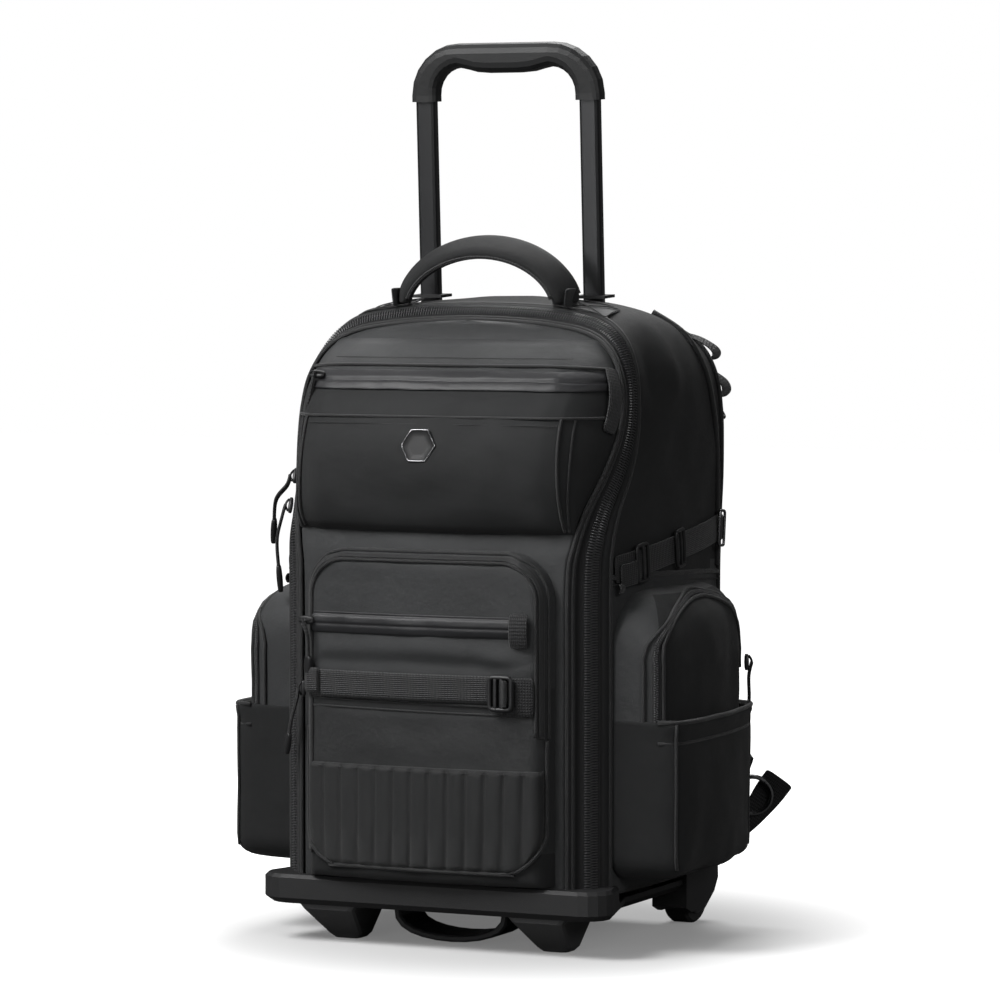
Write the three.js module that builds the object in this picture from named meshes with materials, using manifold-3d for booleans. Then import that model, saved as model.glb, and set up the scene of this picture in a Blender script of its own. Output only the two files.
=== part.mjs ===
// A wheeled backpack: a soft hollow bag with a clamshell front door, pockets, a shoulder harness, two wheels
// and a telescopic trolley handle. Millimetres, +Z up, the front faces -Y and +X is its wearer's left.
import * as THREE from 'three';
import { mergeVertices } from 'three/addons/utils/BufferGeometryUtils.js';
import Module from 'manifold-3d';

const wasm = await Module();
wasm.setup();

// Driving dimensions of the bag
const SHELL_BOTTOM = 46; // underside of the soft body above the floor
const SHELL_HEIGHT = 495; // soft body, from its underside to the top seam
const SHELL_HALF = 150; // half of the body's width
const SHELL_DEPTH = 262; // from the door's front face to the back pad's rear face
const SHELL_WALL = 3; // padded side wall
const SHELL_BULGE = 9; // how far the side walls swell between the door and the back
const SHELL_FLARE = 6; // how much further out the side walls are at the back than at the door
const BACK_DROP = 14; // how much lower the body is at the back than at the door
const BACK_PAD = 14; // thickness of the foam back pad
const DOOR_WALL = 3; // padded door
const DOOR_CROWN = 10; // how far the middle of the door swells forward
const BAND_WALL = 2.4; // zip gusset
const POCKET_WALL = 2; // cloth of the pockets
const SEAM_GAP = 0.4; // clearance between pieces that are sewn or rest together

// Driving dimensions of the pockets
const POUCH_SWELL = 6; // forward swell of the upper pouch's middle
const POCKET_HALF = 113; // half of the lower front pocket's width
const POCKET_LOW = 60; // lower edge of the lower front pocket above the floor
const POCKET_HIGH = 338; // upper edge of the lower front pocket above the floor
const POCKET_RADIUS = 40; // corner radius of the lower front pocket
const POCKET_DEPTH = 17; // how far the lower front pocket stands off the door
const RIB_COUNT = 13; // sewn channels on the lower front pocket
const RIB_MARGIN = 11; // between the channels and the pocket's edge
const RIB_TOP = 148; // upper edge of the sewn channels above the floor
const RIB_SWELL = 1.6; // swell of each channel
const TRIM_WALL = 1.6; // coated strips and webbing
const POUCH_ZIP = { half: 112, low: 464, high: 481 }; // coated strip over the upper pouch's zip
const POCKET_ZIP = { half: 100, short: 16, low: 270, high: 284 }; // strip over the lower pocket's zip
const FRONT_WEB = { half: 98, short: 14, low: 212, high: 234 }; // webbing across the lower pocket
const BADGE = { x: -2, z: 424, radius: 16, thick: 2.4 }; // plain plate on the upper pouch
const FRONT_BUCKLE = { x: 76, z: 222, width: 24, height: 31, bar: 3.5 };
const SIDE_FRONT = 0.112 * SHELL_DEPTH + 1.7; // front edge of the side pouch, by the body's front edge
const SIDE_BACK = SHELL_DEPTH - 26; // back edge of the side pouch
const SIDE_LOW = 62; // lower edge of the side pouch above the floor
const SIDE_BAND = 197; // upper edge of the side pouch above the floor
const SIDE_HIGH = 304; // crown of the arched side pocket above the floor
const SIDE_SWELL = 55; // how far the side pouch stands off the body
const SIDE_LEAN = 0.42; // share by which the side pockets stand off less at the back than at the front
const ARCH_SWELL = 43; // how far the arched side pocket stands off the body

// Driving dimensions of the base, feet and wheels
const BASE_LOW = 33; // underside of the base tray above the floor
const BASE_HALF = SHELL_HALF + 11; // half of the base tray's width
const BASE_WAIST = 20; // how much narrower the base tray is on each side behind its front bumper
const BASE_CORNER = 22; // corner radius of the base tray
const BASE_LIP = 58; // top of the base's front lip above the floor
const BASE_FRONT = -14; // front face of the base tray
const BASE_BACK = SHELL_DEPTH - 16; // back face of the base tray
const BASE_WALL = 2.5; // moulded base
const FOOT_SPACING = 195; // between the middles of the two front feet
const FOOT_BACK = 56; // back edge of a foot's sole behind the door's face
const FOOT_TOP = 54; // width of a foot under the base
const FOOT_SOLE = 27; // width of a foot's sole
const FOOT_DEPTH = 28; // length of a foot's sole from front to back
const SKID_HALF = 54; // half of the width of the moulded bottom grip
const SKID_Y = 55; // middle of the bottom grip behind the door's face
const SKID_DEPTH = 46; // length of the bottom grip from front to back
const SKID_WALL = 6; // thickness of the bottom grip's bow
const SKID_CLEAR = 2; // clearance between the bottom grip and the floor
const WHEEL_RADIUS = 28;
const WHEEL_WIDTH = 22;
const WHEEL_X = SHELL_HALF - 22; // middle of a wheel from the middle of the bag
const WHEEL_Y = SHELL_DEPTH - 20; // axle behind the door's face
const WHEEL_CLEAR = 4; // between the tyre and its housing
const WHEEL_SIDE_CLEAR = 1.2; // between the wheel's hub and its housing
const HOUSING_WALL = 4;
const HOUSING_TOP = 92; // top of the wheel housing above the floor
const AXLE_RADIUS = 4;
const AXLE_CLEAR = 0.4; // between the axle and the wheel's bore

// Driving dimensions of the trolley handle
const TROLLEY_SPACING = 155; // between the middles of the two tubes
const TROLLEY_Y = SHELL_DEPTH - 104; // tubes behind the door's face, where they leave the bag
const TROLLEY_RAKE = THREE.MathUtils.degToRad(3); // the tubes lean forward going up
const TUBE_WALL = 1.2;
const TUBE_SLIP = 0.6; // clearance on each side between two nested tubes
const TUBE_WIDTH = 18; // upper tube, across the bag
const TUBE_THICK = 11; // upper tube, from front to back
const EXPOSED = 175; // upper tube that shows between the bag and the grip
const FIXED_LENGTH = 491.4; // tube that is built into the bag
const UPPER_LENGTH = 455; // sliding tube below the grip
const BEZEL_THICK = 2.5; // moulded bezel round each tube on top of the bag
const BEZEL_RIM = 5.5; // how far the bezel reaches past the sliding tube
const GRIP_RISE = 50; // from the upper tube's end to the top of the grip
const GRIP_LEG_WIDTH = 24;
const GRIP_LEG_THICK = 18;
const GRIP_BAR_HEIGHT = 21;
const GRIP_BOW = 5; // how far the middle of the bar's underside sags
const GRIP_BAR_THICK = 25;
const GRIP_CORNER = 34; // bend radius of the grip's middle line
const GRIP_SOCKET = 14; // how far the upper tube reaches into the grip's leg

// Driving dimensions of the webbing and the harness
const GRAB_HALF = 77; // half of the span of the top grab handle
const GRAB_Y = 0.38 * SHELL_DEPTH + 1.4; // grab handle behind the door's face, by the top's front edge
const GRAB_RISE = 43; // inside height of the grab handle's arch
const GRAB_WIDTH = 30;
const GRAB_THICK = 9;
const HARNESS_WIDTH = 62; // shoulder strap
const HARNESS_THICK = 12;
const WEB_WIDTH = 25; // adjuster webbing
const WEB_THICK = 1.6;
const SIDE_WEB_WIDTH = 24; // side compression strap
const BUCKLE_THICK = 4;
const RING_OUT = 32; // middle of the harness ring beyond the body's side
const RING_X = SHELL_HALF + RING_OUT;
const RING_Z = 112; // middle of the harness ring above the floor
const RING_RADIUS = 17; // middle of the harness ring's wire
const RING_WIRE = 2.2; // radius of the ring's wire

// Where the door's edge and the body's front edge run, from the zip's foot up one side to the top's middle.
// Rises are shares of SHELL_HEIGHT, halves are shares of SHELL_HALF and sets are shares of SHELL_DEPTH.
const ZIP_ROWS = [
  { rise: 0.010, doorHalf: 0.823, doorSet: 0.000, bodyRise: 0.010, bodyHalf: 0.990, bodySet: 0.112 },
  { rise: 0.180, doorHalf: 0.823, doorSet: 0.000, bodyRise: 0.180, bodyHalf: 0.990, bodySet: 0.112 },
  { rise: 0.360, doorHalf: 0.823, doorSet: 0.000, bodyRise: 0.360, bodyHalf: 0.990, bodySet: 0.112 },
  { rise: 0.540, doorHalf: 0.825, doorSet: 0.000, bodyRise: 0.545, bodyHalf: 0.990, bodySet: 0.112 },
  { rise: 0.600, doorHalf: 0.850, doorSet: 0.012, bodyRise: 0.605, bodyHalf: 0.995, bodySet: 0.124 },
  { rise: 0.655, doorHalf: 0.890, doorSet: 0.050, bodyRise: 0.660, bodyHalf: 1.000, bodySet: 0.172 },
  { rise: 0.712, doorHalf: 0.943, doorSet: 0.112, bodyRise: 0.716, bodyHalf: 1.008, bodySet: 0.248 },
  { rise: 0.770, doorHalf: 0.985, doorSet: 0.168, bodyRise: 0.776, bodyHalf: 1.010, bodySet: 0.300 },
  { rise: 0.826, doorHalf: 0.996, doorSet: 0.204, bodyRise: 0.838, bodyHalf: 1.005, bodySet: 0.318 },
  { rise: 0.878, doorHalf: 0.966, doorSet: 0.224, bodyRise: 0.900, bodyHalf: 0.975, bodySet: 0.330 },
  { rise: 0.924, doorHalf: 0.880, doorSet: 0.250, bodyRise: 0.950, bodyHalf: 0.890, bodySet: 0.345 },
  { rise: 0.952, doorHalf: 0.730, doorSet: 0.272, bodyRise: 0.980, bodyHalf: 0.740, bodySet: 0.360 },
  { rise: 0.966, doorHalf: 0.480, doorSet: 0.286, bodyRise: 0.994, bodyHalf: 0.490, bodySet: 0.372 },
  { rise: 0.972, doorHalf: 0.220, doorSet: 0.292, bodyRise: 0.999, bodyHalf: 0.225, bodySet: 0.378 },
  { rise: 0.974, doorHalf: 0.000, doorSet: 0.294, bodyRise: 1.000, bodyHalf: 0.000, bodySet: 0.380 },
];

// Front of the upper pouch, from its turned-in underside to its top seam. The columns are shares as above.
const POUCH_ROWS = [
  { rise: 0.618, half: 0.800, set: 0.010 },
  { rise: 0.632, half: 0.805, set: -0.022 },
  { rise: 0.668, half: 0.800, set: -0.052 },
  { rise: 0.720, half: 0.792, set: -0.062 },
  { rise: 0.776, half: 0.785, set: -0.044 },
  { rise: 0.826, half: 0.785, set: 0.000 },
  { rise: 0.868, half: 0.790, set: 0.066 },
  { rise: 0.908, half: 0.760, set: 0.142 },
  { rise: 0.934, half: 0.700, set: 0.208 },
];

// Side view of one shoulder strap, from its root at the top of the back down to its webbing end.
// across: share of SHELL_HALF, rise: share of SHELL_HEIGHT, off: distance of its middle from the back pad
// in strap thicknesses, width: share of HARNESS_WIDTH.
const HARNESS_ROWS = [
  { across: 0.34, rise: 0.925, off: 1.05, width: 0.90 },
  { across: 0.40, rise: 0.895, off: 1.75, width: 1.00 },
  { across: 0.47, rise: 0.850, off: 2.20, width: 1.05 },
  { across: 0.55, rise: 0.780, off: 1.90, width: 1.08 },
  { across: 0.62, rise: 0.690, off: 1.55, width: 1.05 },
  { across: 0.66, rise: 0.590, off: 1.35, width: 0.98 },
  { across: 0.67, rise: 0.490, off: 1.35, width: 0.90 },
  { across: 0.68, rise: 0.390, off: 1.60, width: 0.80 },
  { across: 0.71, rise: 0.310, off: 2.10, width: 0.66 },
];

// Finishes
const cloth = new THREE.MeshStandardMaterial({ color: 0x2c2d2d, roughness: 0.72, metalness: 0 });
const coatedCloth = new THREE.MeshStandardMaterial({ color: 0x3c3d3d, roughness: 0.5, metalness: 0 });
const padding = new THREE.MeshStandardMaterial({ color: 0x262626, roughness: 0.85, metalness: 0 });
const webbing = new THREE.MeshStandardMaterial({ color: 0x1e1e1e, roughness: 0.8, metalness: 0 });
const plastic = new THREE.MeshStandardMaterial({ color: 0x242424, roughness: 0.45, metalness: 0 });
const rubber = new THREE.MeshStandardMaterial({ color: 0x1a1a1a, roughness: 0.8, metalness: 0 });
const anodised = new THREE.MeshStandardMaterial({ color: 0x303031, roughness: 0.35, metalness: 0.8 });
const darkMetal = new THREE.MeshStandardMaterial({ color: 0x4a4a4c, roughness: 0.3, metalness: 1 });

// Turns a geometry into a manifold solid, whatever its vertex layout.
function solid(geometry) {
  const bare = geometry.clone();
  bare.deleteAttribute('normal');
  bare.deleteAttribute('uv');
  const merged = mergeVertices(bare, 1e-3);
  return new wasm.Manifold(new wasm.Mesh({
    numProp: 3,
    vertProperties: new Float32Array(merged.attributes.position.array),
    triVerts: new Uint32Array(merged.index.array),
  }));
}

// Turns a manifold solid back into a geometry.
function geometryOf(manifold) {
  const mesh = manifold.getMesh();
  const positions = new Float32Array(mesh.numVert * 3);
  for (let i = 0; i < mesh.numVert; i++) {
    positions.set(mesh.vertProperties.subarray(i * mesh.numProp, i * mesh.numProp + 3), i * 3);
  }
  const geometry = new THREE.BufferGeometry();
  geometry.setAttribute('position', new THREE.BufferAttribute(positions, 3));
  geometry.setIndex(new THREE.BufferAttribute(new Uint32Array(mesh.triVerts), 1));
  return geometry;
}

function cut(body, ...tools) {
  return geometryOf(tools.reduce((left, tool) => left.subtract(solid(tool)), solid(body)));
}

// One named piece of the bag.
function piece(name, geometry, material) {
  const mesh = new THREE.Mesh(geometry, material);
  mesh.name = name;
  return mesh;
}

function signedVolume(points, faces) {
  let volume = 0;
  for (let i = 0; i < faces.length; i += 3) {
    const [a, b, c] = [points[faces[i]], points[faces[i + 1]], points[faces[i + 2]]];
    volume += a.dot(new THREE.Vector3().crossVectors(b, c));
  }
  return volume;
}

// A closed surface from points and faces, turned to face outwards.
function surface(points, faces) {
  const outward = signedVolume(points, faces) > 0 ? faces : faces.slice().reverse();
  const geometry = new THREE.BufferGeometry().setFromPoints(points);
  geometry.setIndex(outward);
  return geometry;
}

// Triangles that close a flat or nearly flat ring of points.
function capFaces(ring, first) {
  const normal = new THREE.Vector3();
  ring.forEach((p, i) => {
    normal.add(new THREE.Vector3().crossVectors(p, ring[(i + 1) % ring.length]));
  });
  normal.normalize();
  const side = new THREE.Vector3().subVectors(ring[1], ring[0]).normalize();
  const other = new THREE.Vector3().crossVectors(normal, side);
  const flat = ring.map((p) => new THREE.Vector2(p.dot(side), p.dot(other)));
  return THREE.ShapeUtils.triangulateShape(flat, []).flatMap((t) => t.map((i) => i + first));
}

// A solid through rings of equally many points. A looped loft joins its last ring to its first.
function loft(rings, looped = false) {
  const count = rings[0].length;
  const faces = [];
  const last = looped ? rings.length : rings.length - 1;
  for (let r = 0; r < last; r++) {
    const next = ((r + 1) % rings.length) * count;
    for (let i = 0; i < count; i++) {
      const [a, b] = [r * count + i, r * count + (i + 1) % count];
      const [c, d] = [next + i, next + (i + 1) % count];
      faces.push(a, b, d, a, d, c);
    }
  }
  if (!looped) {
    faces.push(...capFaces(rings[0], 0).reverse());
    faces.push(...capFaces(rings[rings.length - 1], (rings.length - 1) * count));
  }
  return surface(rings.flat(), faces);
}

// A rounded rectangle about the origin, as [across, up] pairs. Radii: upper corners, lower corners.
function roundedOutline(half, low, high, upperRadius, lowerRadius, steps = 4) {
  const corners = [
    { x: half - lowerRadius, z: low + lowerRadius, r: lowerRadius, from: -90 },
    { x: half - upperRadius, z: high - upperRadius, r: upperRadius, from: 0 },
    { x: upperRadius - half, z: high - upperRadius, r: upperRadius, from: 90 },
    { x: lowerRadius - half, z: low + lowerRadius, r: lowerRadius, from: 180 },
  ];
  return corners.flatMap((c) => Array.from({ length: steps + 1 }, (_, i) => {
    const angle = THREE.MathUtils.degToRad(c.from + (90 * i) / steps);
    return [c.x + c.r * Math.cos(angle), c.z + c.r * Math.sin(angle)];
  }));
}

// Adds points to a ring of [across, up] pairs. No edge of its guide, a ring alike, is longer than reach.
function subdivide(outline, reach, guide = outline) {
  return outline.flatMap((p, i) => {
    const q = outline[(i + 1) % outline.length];
    const [from, to] = [guide[i], guide[(i + 1) % guide.length]];
    const count = Math.max(1, Math.ceil(Math.hypot(to[0] - from[0], to[1] - from[1]) / reach));
    return Array.from({ length: count }, (_, j) => [
      THREE.MathUtils.lerp(p[0], q[0], j / count), THREE.MathUtils.lerp(p[1], q[1], j / count),
    ]);
  });
}

// A hollow cup of cloth. outline: ring of [across, up]; rows: how far each ring is drawn in and how far it
// stands out; place(across, up, out) puts a point on the bag. Its open side lies on the bag.
function cup(outline, rows, wall, place) {
  const span = [0, 1].map((k) => outline.map((p) => p[k])).map((all) => [Math.min(...all), Math.max(...all)]);
  const middle = span.map(([low, high]) => (low + high) / 2);
  const reach = span.map(([low, high]) => (high - low) / 2);
  const ring = (drawn, out) => outline.map((p) => place(
    ...[0, 1].map((k) => middle[k] + (p[k] - middle[k]) * (1 - drawn / reach[k])), out,
  ));
  const outer = rows.map((row) => ring(row.drawn, row.out));
  const inner = rows.map((row, i) => ring(row.drawn + wall, i === 0 ? row.out : row.out - wall)).reverse();
  const rings = [...inner, ...outer];
  const count = outline.length;
  const faces = [];
  for (let r = 0; r < rings.length - 1; r++) {
    for (let i = 0; i < count; i++) {
      const [a, b] = [r * count + i, r * count + (i + 1) % count];
      faces.push(a, b, b + count, a, b + count, a + count);
    }
  }
  const points = rings.flat();
  const peak = rows[rows.length - 1].out;
  const innerPeak = points.push(place(middle[0], middle[1], peak - wall)) - 1;
  const outerPeak = points.push(place(middle[0], middle[1], peak)) - 1;
  const lastRing = (rings.length - 1) * count;
  for (let i = 0; i < count; i++) {
    faces.push(innerPeak, (i + 1) % count, i);
    faces.push(outerPeak, lastRing + i, lastRing + (i + 1) % count);
  }
  return surface(points, faces);
}

// Reads a column of a table of rows at a given rise, with straight lines between rows.
function readRows(rows, column, rise, key = 'rise') {
  if (rise <= rows[0][key]) return rows[0][column];
  for (let i = 1; i < rows.length; i++) {
    if (rise <= rows[i][key]) {
      const share = (rise - rows[i - 1][key]) / (rows[i][key] - rows[i - 1][key]);
      return THREE.MathUtils.lerp(rows[i - 1][column], rows[i][column], share);
    }
  }
  return rows[rows.length - 1][column];
}

const heightAt = (rise) => SHELL_BOTTOM + rise * SHELL_HEIGHT;
const riseAt = (z) => (z - SHELL_BOTTOM) / SHELL_HEIGHT;

// The door's outer face.
function doorFace(x, z) {
  const half = Math.max(readRows(ZIP_ROWS, 'doorHalf', riseAt(z)) * SHELL_HALF, 1);
  const across = Math.min(Math.abs(x) / half, 1);
  return readRows(ZIP_ROWS, 'doorSet', riseAt(z)) * SHELL_DEPTH - DOOR_CROWN * (1 - across ** 2);
}

// The upper pouch's outer face.
function pouchFace(x, z) {
  const half = readRows(POUCH_ROWS, 'half', riseAt(z)) * SHELL_HALF;
  const across = Math.min(Math.abs(x) / half, 1);
  return readRows(POUCH_ROWS, 'set', riseAt(z)) * SHELL_DEPTH - POUCH_SWELL * (1 - across ** 2);
}

// The middle of the lower front pocket stands furthest off the door.
const POCKET_RINGS = [
  { drawn: 0, out: 0 },
  { drawn: 0.5, out: 0.62 * POCKET_DEPTH },
  { drawn: 6, out: 0.88 * POCKET_DEPTH },
  { drawn: 24, out: POCKET_DEPTH },
  { drawn: 62, out: POCKET_DEPTH },
];

// The lower front pocket's outer face, over its flat middle.
const pocketFace = (x, z) => doorFace(x, z) - SEAM_GAP - POCKET_DEPTH;

// The body's side wall, as the distance from the middle plane.
function bodySide(y, z) {
  const front = readRows(ZIP_ROWS, 'bodySet', riseAt(z), 'bodyRise') * SHELL_DEPTH;
  const half = readRows(ZIP_ROWS, 'bodyHalf', riseAt(z), 'bodyRise') * SHELL_HALF;
  const along = THREE.MathUtils.clamp((y - front) / (SHELL_DEPTH - BACK_PAD - front), 0, 1);
  return half + SHELL_BULGE * Math.sin(Math.PI * along) + SHELL_FLARE * along;
}

// The body's front edge as a closed loop of stations, up one side, over the top, down the other and along
// the bottom.
function bodyLoop() {
  const side = ZIP_ROWS.map((row) => ({
    x: row.bodyHalf * SHELL_HALF, z: heightAt(row.bodyRise), y: row.bodySet * SHELL_DEPTH,
  }));
  const mirrored = side.slice(0, -1).reverse().map((p) => ({ ...p, x: -p.x }));
  const bottomSet = side[0].y;
  const bottom = [-0.955, -0.5, 0, 0.5, 0.955].map((share) => ({
    x: share * SHELL_HALF, z: SHELL_BOTTOM, y: bottomSet,
  }));
  return [...side, ...mirrored, ...bottom];
}

const BODY_SPANS = [0, 0.1, 0.24, 0.4, 0.56, 0.72, 0.86, 1]; // shares of the depth where the body's rings lie

// The body's lines from front to back, one for each station of its loop, drawn in by an inset.
function bodyLines(inset) {
  const loop = bodyLoop();
  const back = SHELL_DEPTH - BACK_PAD - SEAM_GAP;
  return loop.map((p, i) => {
    const before = loop[(i + loop.length - 1) % loop.length];
    const after = loop[(i + 1) % loop.length];
    const outward = new THREE.Vector2(after.z - before.z, before.x - after.x).normalize();
    const drop = BACK_DROP * Math.max(0, riseAt(p.z));
    return BODY_SPANS.map((share) => {
      const swell = (p.z > SHELL_BOTTOM ? SHELL_BULGE * Math.sin(Math.PI * share) : 0) - inset;
      return new THREE.Vector3(
        p.x * (1 + (SHELL_FLARE / SHELL_HALF) * share) + outward.x * swell,
        THREE.MathUtils.lerp(p.y, back, share),
        p.z - drop * share ** 2 + outward.y * swell,
      );
    });
  });
}

// The whole room the body takes up, used to trim what is sewn to its outside.
function bodyBlock(outset) {
  const lines = bodyLines(-outset);
  return loft(BODY_SPANS.map((_, i) => lines.map((line) => line[i])));
}

// The notches at the rear corners that make room for the wheel housings.
function wheelNotches() {
  return [-1, 1].map((side) => {
    const notch = new THREE.BoxGeometry(200, 200, 2 * (housingCrown() + 2 * SEAM_GAP));
    const across = WHEEL_X - housingWidth() / 2 - 2 * SEAM_GAP;
    notch.translate(side * (across + 100), housingFront() - 2 * SEAM_GAP + 100, 0);
    return notch;
  });
}

// The soft body: one padded sleeve, open at the front behind the door and at the back behind its pad.
function makeBody() {
  const outer = bodyLines(0);
  const inner = bodyLines(SHELL_WALL);
  const rings = outer.map((line, i) => [...line, ...inner[i].slice().reverse()]);
  const holes = [-1, 1].map((side) => {
    const { width, thick } = outerTube(1);
    const hole = new THREE.BoxGeometry(width + 2 * SEAM_GAP + 1, thick + 2 * SEAM_GAP + 1, 60);
    hole.translate(side * TROLLEY_SPACING / 2, 0, 0);
    hole.rotateX(TROLLEY_RAKE);
    hole.translate(0, TROLLEY_Y, heightAt(1));
    return hole;
  });
  return piece('main_body', cut(loft(rings, true), ...holes, ...wheelNotches()), cloth);
}

// The padded back panel that closes the body's rear.
function makeBackPad() {
  const front = SHELL_DEPTH - BACK_PAD;
  const rows = [
    { y: front, drawn: 0.5 },
    { y: front + 0.5 * BACK_PAD, drawn: 1.5 },
    { y: front + 0.85 * BACK_PAD, drawn: 5 },
    { y: SHELL_DEPTH, drawn: 12 },
  ];
  const loop = bodyLoop();
  const rings = rows.map((row) => loop.map((p) => {
    const drop = BACK_DROP * Math.max(0, riseAt(p.z));
    const middle = heightAt(0.5);
    return new THREE.Vector3(
      p.x * (1 + (SHELL_FLARE - row.drawn) / SHELL_HALF),
      row.y,
      middle + (p.z - drop - middle) * (1 - (2 * row.drawn) / SHELL_HEIGHT),
    );
  }));
  return piece('back_pad', cut(loft(rings), ...wheelNotches()), padding);
}

// A solid behind the door's outer face, let out by outset and spread, and as thick as asked.
function doorBlock(outset, thick = 40, spread = 0) {
  const rows = ZIP_ROWS.slice(0, -1);
  const steps = 12;
  return loft(rows.map((row) => {
    const half = row.doorHalf * SHELL_HALF - SEAM_GAP + spread;
    const z = heightAt(row.rise);
    const front = [];
    const rear = [];
    for (let i = 0; i <= steps; i++) {
      const x = -half + (2 * half * i) / steps;
      front.push(new THREE.Vector3(x, doorFace(x, z) - outset, z));
      rear.push(new THREE.Vector3(x, doorFace(x, z) - outset + thick, z));
    }
    return [...front, ...rear.reverse()];
  }));
}

// The clamshell door, a crowned panel inside the zip.
const makeDoor = () => piece('door_panel', doorBlock(0, DOOR_WALL), coatedCloth);

// The zip gusset between the door's edge and the body's front edge.
function makeZipBand() {
  const half = ZIP_ROWS.map((row) => ({
    door: new THREE.Vector3(row.doorHalf * SHELL_HALF, row.doorSet * SHELL_DEPTH, heightAt(row.rise)),
    body: new THREE.Vector3(row.bodyHalf * SHELL_HALF, row.bodySet * SHELL_DEPTH, heightAt(row.bodyRise)),
  }));
  const flip = new THREE.Vector3(-1, 1, 1);
  const other = half.slice(0, -1).reverse().map((s) => ({
    door: s.door.clone().multiply(flip), body: s.body.clone().multiply(flip),
  }));
  const stations = [...half, ...other];
  const rings = stations.map((s, i) => {
    const before = stations[Math.max(i - 1, 0)];
    const after = stations[Math.min(i + 1, stations.length - 1)];
    const along = new THREE.Vector3().subVectors(after.door, before.door).add(after.body).sub(before.body);
    const across = new THREE.Vector3().subVectors(s.body, s.door);
    const inward = new THREE.Vector3().crossVectors(along, across).normalize().multiplyScalar(BAND_WALL);
    const gap = (SEAM_GAP + BAND_WALL) / across.length();
    const door = s.door.clone().lerp(s.body, gap);
    const body = s.body.clone().lerp(s.door, gap);
    const middle = s.door.clone().lerp(s.body, 0.5).addScaledVector(inward, -0.6);
    return [
      door, middle, body,
      body.clone().add(inward), middle.clone().add(inward), door.clone().add(inward),
    ];
  });
  const door = doorBlock(SEAM_GAP, DOOR_WALL + 2 * SEAM_GAP, SEAM_GAP);
  return piece('zip_gusset', cut(loft(rings), door), cloth);
}

// One solid through the upper pouch's rows, drawn in by an inset.
function pouchBlock(inset) {
  const steps = 8;
  const low = heightAt(POUCH_ROWS[0].rise) + inset;
  const high = heightAt(POUCH_ROWS[POUCH_ROWS.length - 1].rise) - inset;
  const rings = POUCH_ROWS.map((row) => {
    const z = THREE.MathUtils.clamp(heightAt(row.rise), low, high);
    const rise = riseAt(z);
    const half = readRows(POUCH_ROWS, 'half', rise) * SHELL_HALF - inset;
    const seam = readRows(ZIP_ROWS, 'doorHalf', rise) * SHELL_HALF - 3 - inset;
    const behind = inset > 0 ? 2 * inset : -SEAM_GAP;
    const front = [];
    const rear = [];
    for (let i = 0; i <= steps; i++) {
      const x = -half + (2 * half * i) / steps;
      front.push(new THREE.Vector3(x, Math.min(pouchFace(x, z) + inset, doorFace(x, z) + behind - 0.5), z));
      const rearX = -seam + (2 * seam * i) / steps;
      rear.push(new THREE.Vector3(rearX, doorFace(rearX, z) + behind, z));
    }
    return [...front, ...rear.reverse()];
  });
  return loft(rings);
}

function makeUpperPouch() {
  return piece('upper_pouch', cut(pouchBlock(0), pouchBlock(POCKET_WALL), doorBlock(SEAM_GAP)), coatedCloth);
}

function makeLowerPocket() {
  const outline = subdivide(
    roundedOutline(POCKET_HALF, POCKET_LOW, POCKET_HIGH, POCKET_RADIUS, POCKET_RADIUS, 5), 40,
  );
  const place = (x, z, out) => new THREE.Vector3(x, doorFace(x, z) - SEAM_GAP - out, z);
  const pocket = cup(outline, POCKET_RINGS, POCKET_WALL, place);
  return piece('lower_pocket', cut(pocket, doorBlock(SEAM_GAP)), coatedCloth);
}

// A thin strip that lies on a face of the front: a loft across the bag. corrugate(x) adds relief to it.
function frontStrip(fromX, toX, low, high, face, wall, steps, corrugate = () => 0) {
  const rings = [];
  for (let i = 0; i <= steps; i++) {
    const x = THREE.MathUtils.lerp(fromX, toX, i / steps);
    const levels = [low(x), (low(x) + high(x)) / 2, high(x)];
    const front = levels.map((z) => new THREE.Vector3(x, face(x, z) - SEAM_GAP - wall - corrugate(x), z));
    const rear = levels.map((z) => new THREE.Vector3(x, face(x, z) - SEAM_GAP, z));
    rings.push([...front, ...rear.reverse()]);
  }
  return loft(rings);
}

// The sewn channels at the foot of the lower front pocket.
function makeRibPanel() {
  const half = POCKET_HALF - RIB_MARGIN;
  const corner = POCKET_RADIUS - RIB_MARGIN;
  const foot = (x) => {
    const past = Math.max(0, Math.abs(x) - (half - corner));
    return POCKET_LOW + RIB_MARGIN + corner - Math.sqrt(Math.max(0, corner ** 2 - past ** 2));
  };
  const top = (x) => RIB_TOP - 4 * (1 - (x / half) ** 2);
  const swell = (x) => RIB_SWELL * Math.abs(Math.sin(((x + half) / (2 * half)) * Math.PI * RIB_COUNT));
  const strip = frontStrip(-half + 1, half - 1, foot, top, pocketFace, TRIM_WALL, RIB_COUNT * 4, swell);
  return piece('rib_panel', strip, coatedCloth);
}

function makeFrontTrims() {
  const level = (z) => () => z;
  const overPouch = (x, z) => pouchFace(x, z) - SEAM_GAP;
  const strips = [
    { name: 'pouch_zip_strip', size: POUCH_ZIP, face: overPouch, cloth: coatedCloth },
    { name: 'pocket_zip_strip', size: POCKET_ZIP, face: pocketFace, cloth: coatedCloth },
    { name: 'front_webbing', size: FRONT_WEB, face: pocketFace, cloth: webbing },
  ];
  return strips.map(({ name, size, face, cloth }) => {
    const end = size.half - (size.short ?? 0);
    const strip = frontStrip(-size.half, end, level(size.low), level(size.high), face, TRIM_WALL, 10);
    return piece(name, strip, cloth);
  });
}

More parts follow.
